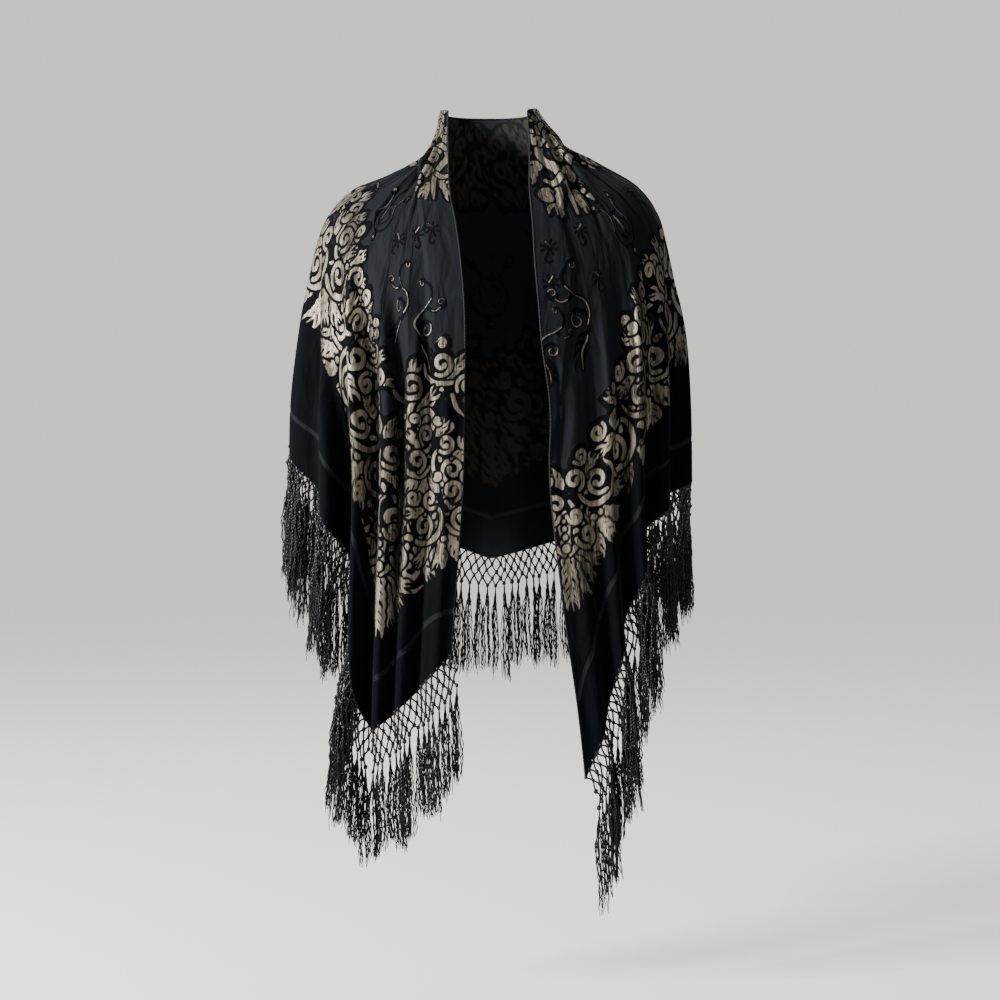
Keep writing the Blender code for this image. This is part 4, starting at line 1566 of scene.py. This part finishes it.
class HemEdge:
    """The hem as a line along the middle of the cloth's wall, with the direction out of the cloth."""

    def __init__(self, form: DrapedForm, wall: float, samples: int = 3001, evening: int = 9) -> None:
        """Reads the hem off the drape.

        Args:
            form: the drape.
            wall: thickness of the cloth.
            samples: how many points the line has.
            evening: over how many of them a direction is averaged.
        """
        self.around = np.linspace(0, 1, samples)
        last = form.cut(self.around, 12)
        facing = outward(last.points)[-1]
        self.points = last.points[-1] - facing * wall / 2
        along = np.gradient(self.points, axis=0)
        for axis in range(3):
            facing[:, axis] = rounded(facing[:, axis], evening)
            along[:, axis] = rounded(along[:, axis], evening)
        self.facing = facing / np.linalg.norm(facing, axis=1, keepdims=True)
        out = np.cross(self.facing, along)
        self.out = out / np.linalg.norm(out, axis=1, keepdims=True)

    def spaced(self, start: float, end: float, pitch: float) -> tuple[np.ndarray, np.ndarray, np.ndarray]:
        """Evenly spaced places on a stretch of the hem.

        Args:
            start: around where it starts.
            end: around where it ends.
            pitch: metres between two places.

        Returns:
            Their points, directions out of the cloth and directions it faces.
        """
        here = (self.around >= start) & (self.around <= end)
        along = lengths(self.points[here])
        wanted = np.linspace(0, along[-1], round(along[-1] / pitch) + 1)
        return tuple(at_lengths(grid[here], along, wanted) for grid in (self.points, self.out, self.facing))


def tubes(
    name: str, paths: list[np.ndarray], widths: list[np.ndarray], sides: int, closed: bool = False
) -> bpy.types.Object:
    """Round cords along paths, as one mesh.

    Args:
        name: the piece's name.
        paths: the points of each cord.
        widths: the thickness of each cord at each of its points.
        sides: how many sides the cords have, 3 or more.
        closed: whether each cord runs back into its start.

    Returns:
        The object.
    """
    bpy.ops.object.select_all(action="DESELECT")
    bpy.ops.curve.primitive_bezier_circle_add(radius=0.5)
    profile = bpy.context.active_object
    profile.data.splines.clear()
    ring = profile.data.splines.new("POLY")
    ring.points.add(sides - 1)
    turn = 2 * np.pi * np.arange(sides) / sides
    corners = np.stack([np.cos(turn) / 2, np.sin(turn) / 2, 0 * turn, 0 * turn + 1], axis=1)
    ring.points.foreach_set("co", corners.ravel())
    ring.use_cyclic_u = True
    cord = bpy.data.curves.new(name, "CURVE")
    cord.dimensions = "3D"
    cord.bevel_mode = "OBJECT"
    cord.bevel_object = profile
    cord.use_fill_caps = not closed
    for path, width in zip(paths, widths):
        spline = cord.splines.new("POLY")
        spline.points.add(len(path) - 1)
        spline.points.foreach_set("co", np.hstack([path, np.ones((len(path), 1))]).ravel())
        spline.points.foreach_set("radius", width)
        spline.use_cyclic_u = closed
    thing = bpy.data.objects.new(name, cord)
    bpy.context.scene.collection.objects.link(thing)
    select_only(thing)
    bpy.ops.object.convert(target="MESH")
    bpy.data.objects.remove(profile)
    bpy.ops.object.shade_smooth()
    return bpy.context.active_object


@dataclass
class RolledHem:
    """The narrow rolled edge that runs round the whole cloth."""

    name: str = "rolled_hem"
    thickness: float = 0.0022
    step: float = 0.0035
    sides: int = 6

    def build(
        self, form: DrapedForm, hem: HemEdge, wall: float, finish: bpy.types.Material
    ) -> bpy.types.Object:
        """Makes the roll along the neck edge, the right opening edge, the hem and the left opening edge.

        Args:
            form: the drape.
            hem: the hem's line.
            wall: thickness of the cloth.
            finish: its material.

        Returns:
            The object.
        """
        ends = form.cut(np.array([0.0, 0.002, 0.998, 1.0]), 500)
        facing = outward(ends.points)
        left = ends.points[:, 0] - facing[:, 0] * wall / 2
        right = ends.points[:, 3] - facing[:, 3] * wall / 2
        top = form.points[0] - outward(form.points[:3])[0] * wall / 2
        loop = np.vstack([top[:-1], right[:-1], hem.points[::-1][:-1], left[::-1][:-1]])
        along = lengths(loop)
        wanted = np.arange(0, along[-1], self.step)
        path = at_lengths(loop, along, wanted)
        thing = tubes(self.name, [path], [np.full(len(path), self.thickness)], self.sides, closed=True)
        thing.data.materials.append(finish)
        return thing


@dataclass
class KnottedFringe:
    """One stretch of fringe: cords tied through the hem, a net of diamonds, and a tassel at each lowest knot.

    Attributes:
        name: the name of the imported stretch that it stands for.
        start: around where it starts.
        end: around where it ends.
        seed: starts the random draws of its unevenness.
        pitch: metres between two cords at the hem.
        net_rows: how many rows of knots the net has.
        net_drop: metres from one row to the next.
        net_uneven: how far those differ, as a share.
        cord_bend: metres that a cord of the net bends out of line.
        knot_drift: metres that a knot lies out of line.
        cord: thickness of a cord.
        knot: width of a knot.
        knot_uneven: how far the knots' sizes differ, as a share.
        yarns: how many yarns a tassel has.
        yarn: thickness of a yarn.
        yarn_uneven: how far the yarns of a tassel differ in length, as a share.
        length: metres from the hem to the tassels' ends.
        uneven: metres that the tassels differ in length, to each side.
        fan: metres that a tassel spreads to each side.
        crinkle: metres that a yarn's curls stand out.
        curls: how many curls it has, at least and at most.
        wave: metres that a whole tassel sways.
        splay: how far the tassels hang outwards, as a share of their length.
        steps: points along a yarn.
    """

    name: str
    start: float
    end: float
    seed: int
    pitch: float = 0.0102
    net_rows: int = 4
    net_drop: float = 0.0096
    net_uneven: float = 0.08
    cord_bend: float = 0.0005
    knot_drift: float = 0.0007
    cord: float = 0.0022
    knot: float = 0.0050
    knot_uneven: float = 0.08
    yarns: int = 13
    yarn: float = 0.0012
    yarn_uneven: float = 0.035
    length: float = 0.146
    uneven: float = 0.013
    fan: float = 0.0060
    crinkle: float = 0.0010
    curls: tuple = (4.5, 8.5)
    wave: float = 0.0028
    splay: float = 0.07
    steps: int = 15

    def build(self, hem: HemEdge, finish: bpy.types.Material) -> bpy.types.Object:
        """Makes the fringe.

        Args:
            hem: the hem's line.
            finish: its material.

        Returns:
            The object.
        """
        rng = np.random.default_rng(self.seed)
        points, out, _ = hem.spaced(self.start, self.end, self.pitch)
        knots, paths, widths = [points], [], []
        for row in range(self.net_rows):
            points, out, hung_from = self.next_row(points, out, row, rng)
            for point, above in zip(points, hung_from):
                for parent in above:
                    middle = (parent + point) / 2 + rng.normal(0, self.cord_bend, 3)
                    paths.append(np.array([parent, middle, point]))
                    widths.append(np.full(3, self.cord))
            knots.append(points)
        net = tubes(self.name, paths, widths, 4)
        tied = self.tied(np.vstack(knots), rng)
        paths, widths = self.tassels(points, out, rng)
        hanging = tubes(self.name + "_yarns", paths, widths, 3)
        bpy.ops.object.select_all(action="DESELECT")
        for thing in (tied, hanging, net):
            thing.select_set(True)
        bpy.context.view_layer.objects.active = net
        bpy.ops.object.join()
        net.data.materials.clear()
        net.data.materials.append(finish)
        return net

    def next_row(
        self, points: np.ndarray, out: np.ndarray, row: int, rng: np.random.Generator
    ) -> tuple[np.ndarray, np.ndarray, list]:
        """Hangs a row of knots under the last one.

        Args:
            points: the knots above.
            out: the direction out of the cloth at each.
            row: the number of the new row.
            rng: where the unevenness comes from.

        Returns:
            The new knots, the direction out of the cloth at each, and the knots that each hangs from.
        """
        pairs = [(points[k], points[k + 1]) for k in range(len(points) - 1)]
        sides = [(out[k] + out[k + 1]) / 2 for k in range(len(points) - 1)]
        middles = [(p + q) / 2 for p, q in pairs]
        if row % 2:
            first = points[0] + (points[0] - points[1]) / 2
            last = points[-1] + (points[-1] - points[-2]) / 2
            middles = [first, *middles, last]
            pairs = [(points[0],), *pairs, (points[-1],)]
            sides = [out[0], *sides, out[-1]]
        sides = np.array(sides)
        share = (row + 0.5) / self.net_rows
        way = sides * (1 - share) + np.array([0, 0, -1.0]) * (0.35 + share)
        way /= np.linalg.norm(way, axis=1, keepdims=True)
        drop = self.net_drop * (1 + rng.normal(0, self.net_uneven, (len(sides), 1)))
        made = np.array(middles) + way * drop + rng.normal(0, self.knot_drift, (len(sides), 3))
        return made, sides, pairs

    def tied(self, places: np.ndarray, rng: np.random.Generator) -> bpy.types.Object:
        """Ties a small round knot at each place, all copies of one.

        Args:
            places: the knots' middles.
            rng: where the unevenness comes from.

        Returns:
            The knots as one object.
        """
        bpy.ops.object.select_all(action="DESELECT")
        bpy.ops.mesh.primitive_ico_sphere_add(subdivisions=1, radius=self.knot / 2)
        first = bpy.context.active_object
        bpy.ops.object.mode_set(mode="EDIT")
        bpy.ops.transform.resize(value=(1.0, 0.86, 1.18))
        bpy.ops.object.mode_set(mode="OBJECT")
        corners = np.array([vert.co[:] for vert in first.data.vertices])
        faces = np.array([face.vertices[:] for face in first.data.polygons])
        bpy.data.objects.remove(first)
        sizes = 1 + rng.normal(0, self.knot_uneven, (len(places), 1, 1))
        points = (places[:, None, :] + corners[None] * sizes).reshape(-1, 3)
        faces = (faces[None] + len(corners) * np.arange(len(places))[:, None, None]).reshape(-1, 3)
        made = new_object(self.name + "_knots", points, faces.tolist())
        select_only(made)
        bpy.ops.object.shade_smooth()
        return made

    def tassels(self, knots: np.ndarray, out: np.ndarray, rng: np.random.Generator) -> tuple[list, list]:
        """The crinkled yarns that hang from the lowest knots.

        Args:
            knots: the knots.
            out: the direction out of the cloth at each.
            rng: where the unevenness comes from.

        Returns:
            The points and the widths of each yarn.
        """
        share = np.linspace(0, 1, self.steps)
        hang = self.length - self.net_rows * self.net_drop
        paths, widths = [], []
        for place, aside in zip(knots, out):
            phase = rng.uniform(0, 2 * np.pi, 2)
            level = np.array([aside[0], aside[1], 0.0])
            whole = hang + self.uneven * rng.uniform(-1, 1)
            bends = [np.sin(2 * np.pi * share * 1.3 + p) - np.sin(p) for p in phase]
            sway = np.stack(bends, axis=1) * self.wave / 2
            for _ in range(self.yarns):
                turn = rng.uniform(0, 2 * np.pi)
                reach = self.fan * np.sqrt(rng.uniform(0.05, 1))
                own = whole * (1 + rng.normal(0, self.yarn_uneven))
                path = np.repeat(place[None], self.steps, axis=0)
                path[:, 2] -= own * share
                path += level * self.splay * own * share[:, None]
                spread = np.array([np.cos(turn), np.sin(turn)]) * reach
                path[:, :2] += spread * smooth(share * 2.2)[:, None] + sway * share[:, None] ** 0.5
                for axis in range(2):
                    tight = rng.uniform(*self.curls)
                    curl = np.sin(2 * np.pi * tight * share + rng.uniform(0, 2 * np.pi))
                    path[:, axis] += self.crinkle * rng.uniform(0.5, 1.3) * curl * smooth(share * 6)
                paths.append(path)
                widths.append(self.yarn * np.interp(share, [0, 0.04, 0.9, 1], [1.3, 1.0, 1.0, 0.6]))
        return paths, widths


# The soft lamps: name, place, width in metres and power in watts
Lamp = namedtuple("Lamp", "name place size power")
LAMPS = (
    Lamp("key", (-2.5, -1.25, 0.75), 0.8, 340.0),
    Lamp("fill", (1.6, -2.3, 0.1), 1.8, 12.0),
    Lamp("top", (0.3, 1.6, 1.4), 1.6, 22.0),
)


@dataclass
class Studio:
    """The camera at the photograph's angle, soft light from the left, and a pale floor and backdrop.

    Attributes:
        camera: the camera's place.
        lens: its focal length in millimetres.
        sensor: its sensor's width in millimetres.
        middle: where the lamps point.
        floor_z: height of the floor.
        floor_size: width of the floor.
        paper: colour of the backdrop and of the floor's glow.
        paint: colour of the floor.
        room: how bright the room is for the part.
        backdrop: how bright it looks to the camera.
        floor_glow: how much brighter the floor looks to the camera.
    """

    camera: tuple = (0.012, -2.06, -0.4704)
    lens: float = 60.0
    sensor: float = 36.0
    middle: tuple = (0.0, -0.08, -0.42)
    floor_z: float = -1.03
    floor_size: float = 14.0
    paper: str = "f2f1ee"
    paint: str = "c4c3bf"
    room: float = 0.34
    backdrop: float = 1.05
    floor_glow: float = 0.82

    def build(self) -> None:
        """Adds the camera, the lights, the world and the floor."""
        bpy.ops.object.camera_add(location=self.camera, rotation=(np.pi / 2, 0, 0))
        camera = bpy.context.active_object
        camera.data.lens = self.lens
        camera.data.sensor_width = self.sensor
        bpy.context.scene.camera = camera
        for lamp in LAMPS:
            turn = (Vector(self.middle) - Vector(lamp.place)).to_track_quat("-Z", "Y").to_euler()
            bpy.ops.object.light_add(type="AREA", location=lamp.place, rotation=turn)
            light = bpy.context.active_object
            light.name = lamp.name
            light.data.size = lamp.size
            light.data.energy = lamp.power
        self.light_room()
        self.lay_floor()

    def light_room(self) -> None:
        """Makes the dim room behind the lamps, with a pale backdrop."""
        world = bpy.data.worlds.new("studio")
        bpy.context.scene.world = world
        world.use_nodes = True
        tree = world.node_tree
        seen = add_node(tree, "LightPath").outputs["Is Camera Ray"]
        strength = add_node(
            tree, "Math", {"operation": "MULTIPLY_ADD", 1: self.backdrop - self.room, 2: self.room}, {0: seen}
        )
        set_up(tree, tree.nodes["Background"], {0: linear(self.paper)}, {1: strength})

    def lay_floor(self) -> None:
        """Lays the floor, in matt paint that looks as pale as the backdrop."""
        bpy.ops.object.select_all(action="DESELECT")
        bpy.ops.mesh.primitive_plane_add(size=self.floor_size, location=(0, 0, self.floor_z))
        floor = bpy.context.active_object
        floor.name = "floor"
        paint, tree, shader = new_material("matt_floor_paint")
        seen = add_node(tree, "LightPath").outputs["Is Camera Ray"]
        glow = add_node(tree, "Math", {"operation": "MULTIPLY", 1: self.floor_glow}, {0: seen})
        colours = {"Base Color": linear(self.paint), "Emission Color": linear(self.paper), "Roughness": 0.9}
        set_up(tree, shader, colours, {"Emission Strength": glow})
        floor.data.materials.append(paint)


def main() -> None:
    """Builds the pieces in order."""
    logging.basicConfig(level=logging.INFO, format="%(message)s")
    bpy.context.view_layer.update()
    form = DrapedForm()
    ornament = Ornament(form)
    LOG.info("drape and ornament laid out, %d stamps", len(ornament.stamps))
    finishes = [VelvetFinish().material(), WrongSideFinish().material()]
    wall = ClothPanel.wall
    hem = HemEdge(form, wall)
    rolled = YarnFinish("rolled_chiffon_edge", "050608", "0c0e11", 0.7).material()
    roll = RolledHem().build(form, hem, wall, rolled)
    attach(roll, "root")
    LOG.info("rolled hem: %d faces", len(roll.data.polygons))
    yarn = YarnFinish("viscose_fringe_yarn").material()
    fringes = {}
    for fringe in (
        KnottedFringe("fringe_left_inner", 0.0005, 0.1035, 31),
        KnottedFringe("fringe_left_outer", 0.1050, 0.2950, 32),
        KnottedFringe("fringe_back", 0.2965, 0.7100, 33),
        KnottedFringe("fringe_right_outer", 0.7115, 0.9995, 34),
    ):
        piece = fringe.build(hem, yarn)
        piece.name = "knotted_" + fringe.name
        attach(piece, "root")
        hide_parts(fringe.name)
        fringes[fringe.name] = piece
        LOG.info("%s: %d faces", piece.name, len(piece.data.polygons))
    for panel, parts in (
        (ClothPanel("velvet_left_front", 0.0, LEFT_SPLIT), [roll, fringes["fringe_left_inner"]]),
        (ClothPanel("velvet_left_side", LEFT_SPLIT, form.side), [fringes["fringe_left_outer"]]),
        (ClothPanel("velvet_back", form.side, 1 - form.side, BACK_CELL), [fringes["fringe_back"]]),
        (ClothPanel("velvet_right_side", 1 - form.side, RIGHT_SPLIT), []),
        (ClothPanel("velvet_right_front", RIGHT_SPLIT, 1.0), [fringes["fringe_right_outer"]]),
    ):
        piece = panel.build(form, ornament, finishes)
        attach(piece, "root")
        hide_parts("shawl_cloth")
        count = len(piece.data.polygons)
        LOG.info("%s: %d faces, %.3f x %.3f m, %.3f square m", piece.name, count, *panel.size, panel.area)
    Studio().build()


if __name__ == "__main__":
    main()
